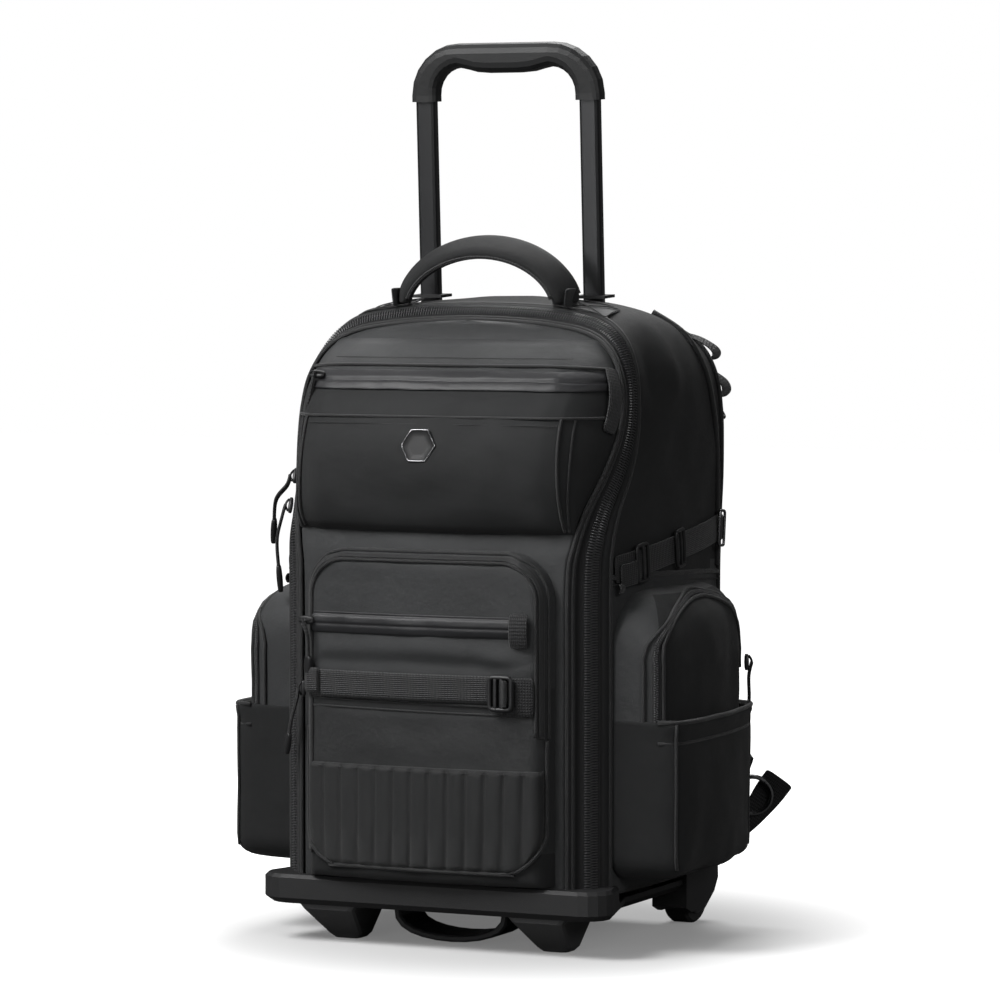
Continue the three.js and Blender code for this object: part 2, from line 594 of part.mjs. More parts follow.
// A ladder-lock frame with two slots, standing in the XZ plane about the origin.
function buckleFrame(width, height, bar) {
  const slotWidth = (width - 3 * bar) / 2;
  const slots = [-1, 1].map((side) => {
    const slot = new THREE.BoxGeometry(slotWidth, 2 * BUCKLE_THICK, height - 2 * bar);
    slot.translate(side * (bar + slotWidth) / 2, 0, 0);
    return slot;
  });
  return cut(new THREE.BoxGeometry(width, BUCKLE_THICK, height), ...slots);
}

function makeFrontBuckle() {
  const { x, z, width, height, bar } = FRONT_BUCKLE;
  const frame = buckleFrame(width, height, bar);
  frame.rotateZ(Math.atan2(pocketFace(x + 10, z) - pocketFace(x - 10, z), 20));
  frame.translate(x, pocketFace(x, z) - 2 * SEAM_GAP - TRIM_WALL - BUCKLE_THICK / 2, z);
  return piece('front_buckle', frame, plastic);
}

// A plain six-sided plate on the upper pouch.
function makeBadge() {
  const { x, z, radius, thick } = BADGE;
  const badge = new THREE.CylinderGeometry(radius, radius, thick, 6);
  badge.rotateY(Math.PI / 6);
  badge.translate(0, -thick / 2 - SEAM_GAP, 0);
  const tilt = Math.atan2(pouchFace(x, z + 14) - pouchFace(x, z - 14), 28);
  badge.rotateX(-tilt);
  badge.translate(x, pouchFace(x, z) - 0.5, z);
  return piece('badge', badge, darkMetal);
}

// The side pouch, its collar and the arched pocket above it. side is 1 or -1.
function makeSidePockets(side, name) {
  const middle = (SIDE_FRONT + SIDE_BACK) / 2;
  const place = (y, z, out) => {
    const lean = 1.12 - (SIDE_LEAN * (y - SIDE_FRONT)) / (SIDE_BACK - SIDE_FRONT);
    return new THREE.Vector3(side * (bodySide(y, z) + SEAM_GAP + out * lean), y, z);
  };
  const shift = (outline, by) => outline.map(([a, b]) => [a + by, b]);
  const pouchOutline = shift(
    subdivide(roundedOutline((SIDE_BACK - SIDE_FRONT) / 2, SIDE_LOW, SIDE_BAND, 5, 22), 34), middle,
  );
  const pouchRows = [
    { drawn: 0, out: 0 },
    { drawn: 0.5, out: 0.5 * SIDE_SWELL },
    { drawn: 4, out: 0.82 * SIDE_SWELL },
    { drawn: 12, out: 0.95 * SIDE_SWELL },
    { drawn: 34, out: SIDE_SWELL },
  ];
  const archHalf = (SIDE_BACK - SIDE_FRONT) / 2 - 1;
  const archOutline = shift(
    subdivide(roundedOutline(archHalf, SIDE_BAND + 2 * SEAM_GAP, SIDE_HIGH, 0.5 * archHalf, 3, 5), 34),
    middle,
  );
  const archRows = [
    { drawn: 0, out: 0 },
    { drawn: 2, out: 0.45 * ARCH_SWELL },
    { drawn: 7, out: 0.82 * ARCH_SWELL },
    { drawn: 14, out: 0.97 * ARCH_SWELL },
    { drawn: 28, out: ARCH_SWELL },
  ];
  const trimmed = (outline, rows) => cut(cup(outline, rows, POCKET_WALL, place), bodyBlock(SEAM_GAP));
  return [
    piece('side_pouch_' + name, trimmed(pouchOutline, pouchRows), cloth),
    piece('side_pocket_' + name, trimmed(archOutline, archRows), cloth),
  ];
}

// The compression strap across the side, with its two frames.
function makeSideStrap(side, name) {
  const rowOf = (share) => ({
    y: THREE.MathUtils.lerp(34, SHELL_DEPTH - BACK_PAD - 4, share),
    z: THREE.MathUtils.lerp(322, 348, share),
  });
  const rings = [];
  for (let i = 0; i <= 8; i++) {
    const { y, z } = rowOf(i / 8);
    const levels = [z - SIDE_WEB_WIDTH / 2, z + SIDE_WEB_WIDTH / 2];
    const edge = (off) => levels.map((h) => new THREE.Vector3(side * (bodySide(y, h) + off), y, h));
    rings.push([...edge(2 * SEAM_GAP + TRIM_WALL), ...edge(2 * SEAM_GAP).reverse()]);
  }
  const strap = piece('side_strap_' + name, loft(rings), webbing);
  const slope = Math.atan2(rowOf(1).z - rowOf(0).z, rowOf(1).y - rowOf(0).y);
  const places = [{ share: 0.17, title: 'front', lift: 1.3 }, { share: 0.5, title: 'rear', lift: 0.4 }];
  const buckles = places.map((b) => {
    const { y, z } = rowOf(b.share);
    const frame = buckleFrame(22, 36, 3.5);
    frame.rotateZ(side * Math.PI / 2);
    frame.rotateX(slope);
    frame.translate(side * (bodySide(y, z) + 3 * SEAM_GAP + TRIM_WALL + BUCKLE_THICK / 2 + b.lift), y, z);
    return piece('side_buckle_' + b.title + '_' + name, frame, plastic);
  });
  return [strap, ...buckles];
}

// The bag's outline low down, seen from above, let out by a clearance.
function bagPlan(outset) {
  const z = heightAt(ZIP_ROWS[0].rise);
  const front = [-1, -0.6, -0.2, 0.2, 0.6, 1].map((share) => {
    const x = share * ZIP_ROWS[0].doorHalf * SHELL_HALF;
    return new THREE.Vector2(x, doorFace(x, z) - outset);
  });
  const set = ZIP_ROWS[0].bodySet * SHELL_DEPTH;
  const side = BODY_SPANS.map((share) => THREE.MathUtils.lerp(set, SHELL_DEPTH, share))
    .map((y) => new THREE.Vector2(bodySide(y, z) + outset, y));
  const reach = (outset + BAND_WALL) * Math.SQRT1_2;
  const gusset = new THREE.Vector2(
    (ZIP_ROWS[0].doorHalf + ZIP_ROWS[0].bodyHalf) * 0.5 * SHELL_HALF + reach, set / 2 - reach,
  );
  const mirrored = (p) => new THREE.Vector2(-p.x, p.y);
  return [...front, gusset, ...side, ...side.slice().reverse().map(mirrored), mirrored(gusset)];
}

// The moulded base: a tub under the bag's floor, with a lip in front of the door.
function makeBase() {
  const middle = (BASE_FRONT + BASE_BACK) / 2;
  const halfDepth = (BASE_BACK - BASE_FRONT) / 2;
  const seat = SHELL_BOTTOM - SEAM_GAP - 0.2;
  const waist = (y) => BASE_WAIST * THREE.MathUtils.smoothstep(y, BASE_FRONT + 30, BASE_FRONT + 90);
  const rim = (inset) => roundedOutline(
    BASE_HALF - inset, inset - halfDepth, halfDepth - inset, BASE_CORNER, BASE_CORNER, 4,
  );
  const ring = (inset, z) => subdivide(rim(inset), 40, rim(0)).map(
    ([x, y]) => new THREE.Vector3(x * (1 - waist(y + middle) / BASE_HALF), y + middle, z),
  );
  const block = loft([ring(5, BASE_LOW), ring(0, BASE_LOW + 5), ring(0, BASE_LIP - 3), ring(2.5, BASE_LIP)]);
  const inside = loft([
    ring(5 + BASE_WALL, BASE_LOW + BASE_WALL), ring(BASE_WALL, BASE_LOW + 7), ring(BASE_WALL, seat - 0.5),
  ]);
  const plan = new THREE.Shape(bagPlan(2 * SEAM_GAP));
  const bagRoom = new THREE.ExtrudeGeometry(plan, { depth: 60, bevelEnabled: false });
  bagRoom.translate(0, 0, seat - 3);
  const above = new THREE.BoxGeometry(400, 400, 60);
  above.translate(0, ZIP_ROWS[0].bodySet * SHELL_DEPTH + 10 + 200, seat + 29);
  return piece('base_tray', cut(block, inside, bagRoom, above, ...wheelNotches()), plastic);
}

// A front foot: wide under the base and drawn in to its sole.
function makeFoot(side, name) {
  const top = BASE_LOW - SEAM_GAP;
  const levels = [
    { z: 0, half: FOOT_SOLE / 2 - 2, from: FOOT_BACK - FOOT_DEPTH + 2, to: FOOT_BACK - 4 },
    { z: 4, half: FOOT_SOLE / 2 + 2, from: FOOT_BACK - FOOT_DEPTH - 2, to: FOOT_BACK - 2 },
    { z: top - 4, half: FOOT_TOP / 2 - 3, from: BASE_FRONT + 8, to: FOOT_BACK + 5 },
    { z: top, half: FOOT_TOP / 2, from: BASE_FRONT + 7, to: FOOT_BACK + 6 },
  ];
  const rings = levels.map(({ z, half, from, to }) => roundedOutline(half, from, to, 5, 5, 2)
    .map(([x, y]) => new THREE.Vector3(x + (side * FOOT_SPACING) / 2, y, z)));
  return piece('foot_' + name, loft(rings), plastic);
}

// The moulded grip under the bag: a bow that leaves room for the fingers behind its skin.
function makeBottomGrip() {
  const top = BASE_LOW - SEAM_GAP;
  const steps = 12;
  const bow = (half, low) => Array.from({ length: steps + 1 }, (_, i) => {
    const angle = Math.PI * (1 + i / steps);
    const lift = Math.abs(Math.sin(angle)) ** 0.6;
    return new THREE.Vector2(half * Math.cos(angle), top - (top - low) * lift);
  });
  const outer = bow(SKID_HALF, SKID_CLEAR);
  const inner = bow(SKID_HALF - SKID_WALL, SKID_CLEAR + SKID_WALL).reverse();
  const shape = new THREE.Shape([...outer, ...inner]);
  const grip = new THREE.ExtrudeGeometry(shape, {
    depth: SKID_DEPTH - 4, bevelEnabled: true, bevelThickness: 2, bevelSize: 1.5, bevelOffset: -1.5,
    bevelSegments: 1,
  });
  grip.rotateX(Math.PI / 2);
  grip.translate(0, SKID_Y + SKID_DEPTH / 2 - 2, 0);
  return piece('bottom_grip', grip, plastic);
}

const housingCrown = () => 2 * WHEEL_RADIUS + WHEEL_CLEAR + HOUSING_WALL;
const housingWidth = () => WHEEL_WIDTH + 2 * WHEEL_SIDE_CLEAR + 2 * HOUSING_WALL;
const housingFront = () => WHEEL_Y - WHEEL_RADIUS - WHEEL_CLEAR - HOUSING_WALL;

// The housing that holds one wheel between two cheeks, with its axle.
function makeHousing(side, name) {
  const arch = WHEEL_RADIUS + WHEEL_CLEAR;
  const skin = arch + HOUSING_WALL;
  const behind = SHELL_DEPTH + 2 * SEAM_GAP - WHEEL_Y;
  const profile = new THREE.Shape();
  profile.moveTo(-skin, 0.62 * WHEEL_RADIUS);
  profile.lineTo(-0.75 * arch, 0.45 * WHEEL_RADIUS);
  profile.lineTo(0.2 * arch, 0.45 * WHEEL_RADIUS);
  profile.lineTo(0.85 * arch, 0.9 * WHEEL_RADIUS);
  profile.lineTo(skin, 1.3 * WHEEL_RADIUS);
  profile.lineTo(skin - 2, HOUSING_TOP - 16);
  profile.lineTo((skin + behind) / 2, HOUSING_TOP);
  profile.lineTo(behind, HOUSING_TOP);
  profile.lineTo(behind, housingCrown());
  profile.lineTo(-skin, housingCrown());
  const width = housingWidth();
  const block = new THREE.ExtrudeGeometry(profile, { depth: width, bevelEnabled: false });
  block.rotateX(Math.PI / 2).rotateZ(Math.PI / 2);
  block.translate(-width / 2, 0, 0);
  const well = new THREE.CylinderGeometry(arch, arch, WHEEL_WIDTH + 2 * WHEEL_SIDE_CLEAR, 28);
  well.rotateZ(Math.PI / 2).translate(0, 0, WHEEL_RADIUS);
  const axle = new THREE.CylinderGeometry(AXLE_RADIUS, AXLE_RADIUS, width, 16);
  axle.rotateZ(Math.PI / 2).translate(0, 0, WHEEL_RADIUS);
  const housing = geometryOf(solid(block).subtract(solid(well)).add(solid(axle)));
  housing.translate(side * WHEEL_X, WHEEL_Y, 0);
  return piece('wheel_housing_' + name, housing, plastic);
}

function makeWheel(side, name) {
  const half = WHEEL_WIDTH / 2;
  const bore = AXLE_RADIUS + AXLE_CLEAR;
  const profile = [
    [bore, -half], [11, -half], [12, -half + 3], [19, -half + 3], [20, -half + 0.5],
    [WHEEL_RADIUS - 2, -half + 0.5],
    [WHEEL_RADIUS, -half + 3], [WHEEL_RADIUS, half - 3], [WHEEL_RADIUS - 2, half - 0.5], [20, half - 0.5],
    [19, half - 3], [12, half - 3], [11, half], [bore, half], [bore, -half],
  ].map(([r, x]) => new THREE.Vector2(r, x));
  const wheel = new THREE.LatheGeometry(profile, 32);
  wheel.rotateZ(Math.PI / 2);
  wheel.translate(side * WHEEL_X, WHEEL_Y, WHEEL_RADIUS);
  return piece('wheel_' + name, wheel, rubber);
}

// Outside size of a tube: stage 0 is the sliding tube and 1 the fixed tube round it.
function outerTube(stage) {
  const growth = 2 * stage * (TUBE_WALL + TUBE_SLIP);
  return { width: TUBE_WIDTH + growth, thick: TUBE_THICK + growth };
}

// A rounded rectangular tube standing on low, in the trolley's own frame.
function tube(stage, low, length) {
  const { width, thick } = outerTube(stage);
  const outline = (inset) => roundedOutline(
    width / 2 - inset, inset - thick / 2, thick / 2 - inset, 3 - inset, 3 - inset, 2,
  ).map(([x, y]) => new THREE.Vector2(x, y));
  const shape = new THREE.Shape(outline(0));
  shape.holes.push(new THREE.Path(outline(TUBE_WALL).reverse()));
  const body = new THREE.ExtrudeGeometry(shape, { depth: length, bevelEnabled: false });
  body.translate(0, 0, low);
  return body;
}

// The two tubes of one stage, side by side.
function tubePair(title, stage, low, length) {
  return [{ side: -1, name: 'right' }, { side: 1, name: 'left' }].map(({ side, name }) => {
    const body = tube(stage, low, length);
    body.translate(side * TROLLEY_SPACING / 2, 0, 0);
    return piece(title + '_' + name, body, anodised);
  });
}

// The middle line of the grip, from one leg over the bar to the other. bow: how far the bar's underside sags.
function gripRings() {
  const half = TROLLEY_SPACING / 2;
  const legTop = EXPOSED + GRIP_RISE - GRIP_BAR_HEIGHT / 2 - GRIP_CORNER;
  const barZ = legTop + GRIP_CORNER;
  const stations = [{ x: half, z: EXPOSED, turn: 0, bar: 0, bow: 0 }];
  for (let i = 0; i <= 6; i++) {
    const turn = (Math.PI / 2) * (i / 6);
    stations.push({
      x: half - GRIP_CORNER * (1 - Math.cos(turn)), z: legTop + GRIP_CORNER * Math.sin(turn),
      turn, bar: i / 6, bow: 0,
    });
  }
  [[0.45, 0.35], [0.34, 0.8], [0.18, 1]].forEach(([share, bow]) => {
    stations.push({ x: share * half, z: barZ, turn: Math.PI / 2, bar: 1, bow });
  });
  stations.push({ x: 0, z: barZ, turn: Math.PI / 2, bar: 1, bow: 1 });
  const mirrored = stations.slice(0, -1).reverse().map((s) => ({ ...s, x: -s.x, turn: Math.PI - s.turn }));
  return [...stations, ...mirrored].map((s) => {
    const across = THREE.MathUtils.lerp(GRIP_LEG_WIDTH, GRIP_BAR_HEIGHT, s.bar);
    const thick = THREE.MathUtils.lerp(GRIP_LEG_THICK, GRIP_BAR_THICK, s.bar);
    const round = THREE.MathUtils.lerp(6, 9, s.bar);
    const sag = (a) => (a * Math.sin(s.turn) < 0 ? GRIP_BOW * s.bow : 0);
    const section = roundedOutline(across / 2, -thick / 2, thick / 2, round, round, 3);
    return section.map(([a, y]) => new THREE.Vector3(
      s.x + a * Math.cos(s.turn), y, s.z + a * Math.sin(s.turn) - sag(a),
    ));
  });
}

function makeGrip() {
  const sockets = [-1, 1].map((side) => {
    const [width, thick] = [TUBE_WIDTH + 2 * SEAM_GAP, TUBE_THICK + 2 * SEAM_GAP];
    const socket = new THREE.BoxGeometry(width, thick, 2 * GRIP_SOCKET);
    socket.translate(side * TROLLEY_SPACING / 2, 0, EXPOSED);
    return socket;
  });
  return piece('grip', cut(loft(gripRings()), ...sockets), plastic);
}

// The bezel round one tube where it leaves the bag.
function makeBezel(side, name) {
  const hole = outerTube(0);
  const slot = new THREE.BoxGeometry(hole.width + 2 * TUBE_SLIP, hole.thick + 2 * TUBE_SLIP, 40);
  const ring = new THREE.BoxGeometry(hole.width + 2 * BEZEL_RIM, hole.thick + 2 * BEZEL_RIM, BEZEL_THICK);
  const bezel = cut(ring, slot);
  bezel.translate(side * TROLLEY_SPACING / 2, 0, SHELL_BULGE + BEZEL_THICK / 2 - 3.6);
  return piece('tube_bezel_' + name, bezel, plastic);
}

// The whole trolley stands in its own frame, raked forward, with its zero where it leaves the bag.
function makeTrolley() {
  const trolley = new THREE.Group();
  trolley.position.set(0, TROLLEY_Y, heightAt(1));
  trolley.rotation.x = TROLLEY_RAKE;
  trolley.add(
    ...tubePair('fixed_tube', 1, -FIXED_LENGTH, FIXED_LENGTH),
    ...tubePair('sliding_tube', 0, EXPOSED - UPPER_LENGTH, UPPER_LENGTH + GRIP_SOCKET - 2 * SEAM_GAP),
    makeGrip(), makeBezel(-1, 'right'), makeBezel(1, 'left'),
  );
  return trolley;
}

// A flat strap along a list of stations { at, wide, flat }: wide and flat are the directions of its section.
function strap(stations) {
  return loft(stations.map((s) => {
    const a = s.wide.clone().multiplyScalar(s.width / 2);
    const b = s.flat.clone().multiplyScalar(s.thick / 2);
    return [
      s.at.clone().add(a).add(b), s.at.clone().sub(a).add(b),
      s.at.clone().sub(a).sub(b), s.at.clone().add(a).sub(b),
    ];
  }));
}

// The arched grab handle sewn to the top of the bag.
function makeGrabHandle() {
  const steps = 14;
  const stations = [];
  const foot = heightAt(1) + 1.2;
  for (let i = 0; i <= steps; i++) {
    const angle = Math.PI * (i / steps);
    const x = GRAB_HALF * Math.cos(angle);
    const z = foot + (GRAB_RISE + GRAB_THICK / 2) * Math.sin(angle) ** 1.15;
    stations.push(new THREE.Vector3(x, GRAB_Y, z));
  }
  const rings = stations.map((at, i) => {
    const before = stations[Math.max(i - 1, 0)];
    const after = stations[Math.min(i + 1, steps)];
    const along = new THREE.Vector3().subVectors(after, before).normalize();
    const flat = new THREE.Vector3(-along.z, 0, along.x);
    const end = Math.abs(i / steps - 0.5) > 0.42;
    return {
      at, flat, wide: new THREE.Vector3(0, 1, 0), width: GRAB_WIDTH,
      thick: end ? 0.6 * GRAB_THICK : GRAB_THICK,
    };
  });
  return piece('grab_handle', strap(rings), padding);
}

// One padded shoulder strap on the back.
function makeHarnessStrap(side, name) {
  const points = HARNESS_ROWS.map((row) => new THREE.Vector3(
    side * row.across * SHELL_HALF, SHELL_DEPTH + row.off * HARNESS_THICK, heightAt(row.rise),
  ));
  const rings = points.map((at, i) => {
    const before = points[Math.max(i - 1, 0)];
    const after = points[Math.min(i + 1, points.length - 1)];
    const along = new THREE.Vector3().subVectors(after, before).normalize();
    const wide = new THREE.Vector3(1, 0, 0).addScaledVector(along, -along.x).normalize();
    const flat = new THREE.Vector3().crossVectors(along, wide);
    return { at, wide, flat, width: HARNESS_ROWS[i].width * HARNESS_WIDTH, thick: HARNESS_THICK };
  });
  return piece('shoulder_strap_' + name, strap(rings), padding);
}

// The adjuster webbing from the foot of a shoulder strap to the ring behind the side pouch.
function makeHarnessWeb(side, name) {
  const last = HARNESS_ROWS[HARNESS_ROWS.length - 1];
  const start = new THREE.Vector3(
    side * last.across * SHELL_HALF, SHELL_DEPTH + last.off * HARNESS_THICK, heightAt(last.rise) - 9,
  );
  const curve = new THREE.CatmullRomCurve3([
    start,
    new THREE.Vector3(side * (RING_X - 50), SHELL_DEPTH + 30, RING_Z + 54),
    new THREE.Vector3(side * (RING_X - 22), SHELL_DEPTH + 18, RING_Z + 32),
    new THREE.Vector3(side * (RING_X - 6), SHELL_DEPTH + 9, RING_Z + RING_RADIUS + 4),
  ]);
  const stations = [];
  for (let i = 0; i <= 10; i++) {
    const at = curve.getPoint(i / 10);
    const along = curve.getTangent(i / 10);
    const wide = new THREE.Vector3(0, 0, 1).addScaledVector(along, -along.z).normalize();
    const level = new THREE.Vector3(side, 0, 0).addScaledVector(along, -side * along.x).normalize();
    wide.lerp(level, 1 - i / 10).addScaledVector(along, -along.dot(wide)).normalize();
    const flat = new THREE.Vector3().crossVectors(along, wide);
    stations.push({ at, wide, flat, width: WEB_WIDTH, thick: WEB_THICK });
  }
  return piece('harness_webbing_' + name, strap(stations), webbing);
}

// The metal ring at the foot of the harness.
function makeHarnessRing(side, name) {
  const ring = new THREE.TorusGeometry(RING_RADIUS, RING_WIRE, 8, 28);
  ring.rotateX(Math.PI / 2 + 0.25);
  ring.rotateZ(side * THREE.MathUtils.degToRad(20));
  ring.translate(side * RING_X, SHELL_DEPTH + 2, RING_Z);
  return piece('harness_ring_' + name, ring, darkMetal);
}

// The sewn webbing tab that anchors the ring to the bag's rear corner.
function makeHarnessAnchor(side, name) {
  const from = new THREE.Vector3(side * (RING_X - 44), SHELL_DEPTH + 2.1, RING_Z - 8);
  const inner = RING_X - RING_RADIUS - RING_WIRE;
  const to = new THREE.Vector3(side * (inner + 2.6), SHELL_DEPTH + 2.6, RING_Z - 5);
  const along = new THREE.Vector3().subVectors(to, from).normalize();
  const flat = new THREE.Vector3(0, 1, 0);
  const wide = new THREE.Vector3().crossVectors(along, flat).normalize();
  const stations = [from, to].map((at, i) => ({
    at, wide, flat, width: (i ? 0.6 : 0.9) * WEB_WIDTH, thick: 3,
  }));
  return piece('harness_anchor_' + name, strap(stations), webbing);
}

// Every piece of the bag in its build frame, where the door's front face is at Y zero.
function makeBag() {
  const bag = new THREE.Group();
  bag.add(
    makeBody(), makeBackPad(), makeDoor(), makeZipBand(), makeUpperPouch(), makeLowerPocket(), makeRibPanel(),
    ...makeFrontTrims(), makeFrontBuckle(), makeBadge(), makeBase(), makeBottomGrip(), makeTrolley(),
    makeGrabHandle(),
  );
  [{ side: -1, name: 'right' }, { side: 1, name: 'left' }].forEach(({ side, name }) => {
    bag.add(
      ...makeSidePockets(side, name), ...makeSideStrap(side, name), makeFoot(side, name),
      makeHousing(side, name), makeWheel(side, name), makeHarnessStrap(side, name),
      makeHarnessWeb(side, name), makeHarnessRing(side, name), makeHarnessAnchor(side, name),
    );
  });
  return bag;
}

// The part's origin is on the floor, under the middle of its outline.
const bag = makeBag();
const outline = new THREE.Box3().setFromObject(bag);
bag.position.y = -(outline.min.y + outline.max.y) / 2;
const part = new THREE.Group();
part.add(bag);

export default part;
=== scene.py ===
"""A wheeled backpack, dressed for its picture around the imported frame.

The soft body, its clamshell door, pockets, straps and zips are built here as cloth. The base, feet, wheels
and the telescopic handle stay as the frame gives them and only get their finishes and small fittings. Sizes
are in metres.
"""
from __future__ import annotations

import logging
import math
from dataclasses import dataclass, field
from enum import Enum
from typing import Callable, Sequence

import bmesh
import bpy
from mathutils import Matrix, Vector, noise

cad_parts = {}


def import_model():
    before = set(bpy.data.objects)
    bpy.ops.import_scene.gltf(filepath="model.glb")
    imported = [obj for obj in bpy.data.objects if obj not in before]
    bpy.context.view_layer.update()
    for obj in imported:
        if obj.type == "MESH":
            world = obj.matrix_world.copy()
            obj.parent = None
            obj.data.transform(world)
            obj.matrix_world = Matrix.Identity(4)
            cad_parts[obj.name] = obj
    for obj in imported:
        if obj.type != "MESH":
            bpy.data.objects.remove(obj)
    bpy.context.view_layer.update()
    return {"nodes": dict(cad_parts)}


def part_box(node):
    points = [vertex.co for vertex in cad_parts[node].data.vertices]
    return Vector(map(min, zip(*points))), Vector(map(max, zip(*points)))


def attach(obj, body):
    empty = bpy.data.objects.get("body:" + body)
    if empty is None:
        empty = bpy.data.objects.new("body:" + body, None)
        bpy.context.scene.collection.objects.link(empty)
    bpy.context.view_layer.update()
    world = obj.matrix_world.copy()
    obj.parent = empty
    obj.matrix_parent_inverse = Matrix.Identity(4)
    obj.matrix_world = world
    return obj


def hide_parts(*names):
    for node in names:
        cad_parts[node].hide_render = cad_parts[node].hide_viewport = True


LOG = logging.getLogger("backpack")
BODY = "bag"
SIDES = ((-1, "right"), (1, "left"))


class Slot(Enum):
    """Material slots that each new piece is tagged with; its finishes come from its own list of finishes."""

    CLOTH = "cloth"
    COATED = "coated_cloth"
    PADDING = "padding"
    WEBBING = "webbing"
    PLASTIC = "plastic"
    METAL = "dark_metal"


# Shader sketching


class NodeSketch:
    """A small helper that adds nodes to one node tree and wires them up."""

    def __init__(self, tree: bpy.types.NodeTree) -> None:
        """Keep the tree that nodes are added to."""
        self.tree = tree

    def add(self, kind: str, settings: dict | None = None, **values: object) -> bpy.types.Node:
        """Add a node and set its inputs.

        Args:
            kind: the node's type without its ShaderNode prefix.
            settings: the node's own properties by name.
            values: input sockets by name, with underscores for spaces. A socket is linked, another value is
                set.

        Returns:
            The new node.
        """
        name = kind if kind.startswith("NodeGroup") else "ShaderNode" + kind
        node = self.tree.nodes.new(name)
        for key, value in (settings or {}).items():
            setattr(node, key, value)
        for key, value in values.items():
            self.set(node, key.replace("_", " "), value)
        return node

    def set(self, node: bpy.types.Node, key: str | int, value: object) -> None:
        """Link a socket to an input, or set the input's value.

        Args:
            node: the node whose input is set.
            key: the input's name or index.
            value: an output socket or a plain value.
        """
        socket = node.inputs[key]
        if isinstance(value, bpy.types.NodeSocket):
            self.tree.links.new(value, socket)
        else:
            socket.default_value = value

    def math(self, operation: str, first: object, second: object = 0.0,
             clamp: bool = False) -> bpy.types.NodeSocket:
        """Add a math node.

        Args:
            operation: the node's operation.
            first: its first input.
            second: its second input.
            clamp: whether the result is held between 0 and 1.

        Returns:
            Its output socket.
        """
        node = self.add("Math", {"operation": operation, "use_clamp": clamp})
        self.set(node, 0, first)
        self.set(node, 1, second)
        return node.outputs[0]

    def mix(self, share: object, first: object, second: object) -> bpy.types.NodeSocket:
        """Mix two colours.

        Args:
            share: how much of the second colour shows.
            first: the first colour.
            second: the second colour.

        Returns:
            The mixed colour's socket.
        """
        node = self.add("Mix", {"data_type": "RGBA"})
        self.set(node, 0, share)
        self.set(node, 6, first)
        self.set(node, 7, second)
        return node.outputs[2]


def make_group(name: str, inputs: dict[str, float | tuple], outputs: Sequence[str],
               build: Callable[[NodeSketch, bpy.types.Node],
                               dict[str, bpy.types.NodeSocket]]) -> bpy.types.NodeTree:
    """Build a shader node group once and reuse it afterwards.

    Args:
        name: the group's name.
        inputs: its inputs with their default values; a tuple makes a colour.
        outputs: its outputs; a name that ends in Color makes a colour.
        build: draws the inside from a sketch and the input node, and returns a socket for each output.

    Returns:
        The node group.
    """
    if name in bpy.data.node_groups:
        return bpy.data.node_groups[name]
    tree = bpy.data.node_groups.new(name, "ShaderNodeTree")
    for key, value in inputs.items():
        kind = "NodeSocketColor" if isinstance(value, tuple) else "NodeSocketFloat"
        tree.interface.new_socket(key, in_out="INPUT", socket_type=kind).default_value = value
    for key in outputs:
        kind = "NodeSocketColor" if key.endswith("Color") else "NodeSocketFloat"
        tree.interface.new_socket(key, in_out="OUTPUT", socket_type=kind)
    sketch = NodeSketch(tree)
    source = sketch.add("NodeGroupInput")
    result = sketch.add("NodeGroupOutput")
    for key, socket in build(sketch, source).items():
        sketch.set(result, key, socket)
    return tree


def weave_group() -> bpy.types.NodeTree:
    """Make the plain weave that all cloth shares.

    Returns:
        A group whose Height and Shade follow crossing threads along the cloth's own UV run.
    """
    def build(sketch: NodeSketch, source: bpy.types.Node) -> dict[str, bpy.types.NodeSocket]:
        place = sketch.add("TexCoord").outputs["UV"]
        waves = []
        for direction in ("X", "Y"):
            wave = sketch.add("TexWave", {"bands_direction": direction}, Vector=place, Distortion=0.4,
                              Detail=1.0)
            sketch.set(wave, "Scale", source.outputs["Threads"])
            waves.append(wave.outputs["Fac"])
        height = sketch.math("MULTIPLY", *waves)
        blotch = sketch.add("TexNoise", Vector=place, Detail=3.0)
        sketch.set(blotch, "Scale", source.outputs["Blotch"])
        shade = sketch.math("MULTIPLY_ADD", height, 0.35)
        shade.node.inputs[2].default_value = 0.0
        shade = sketch.math("ADD", shade, sketch.math("MULTIPLY", blotch.outputs["Fac"], 0.65))
        return {"Height": height, "Shade": shade}
    return make_group("weave", {"Threads": 400.0, "Blotch": 14.0}, ("Height", "Shade"), build)


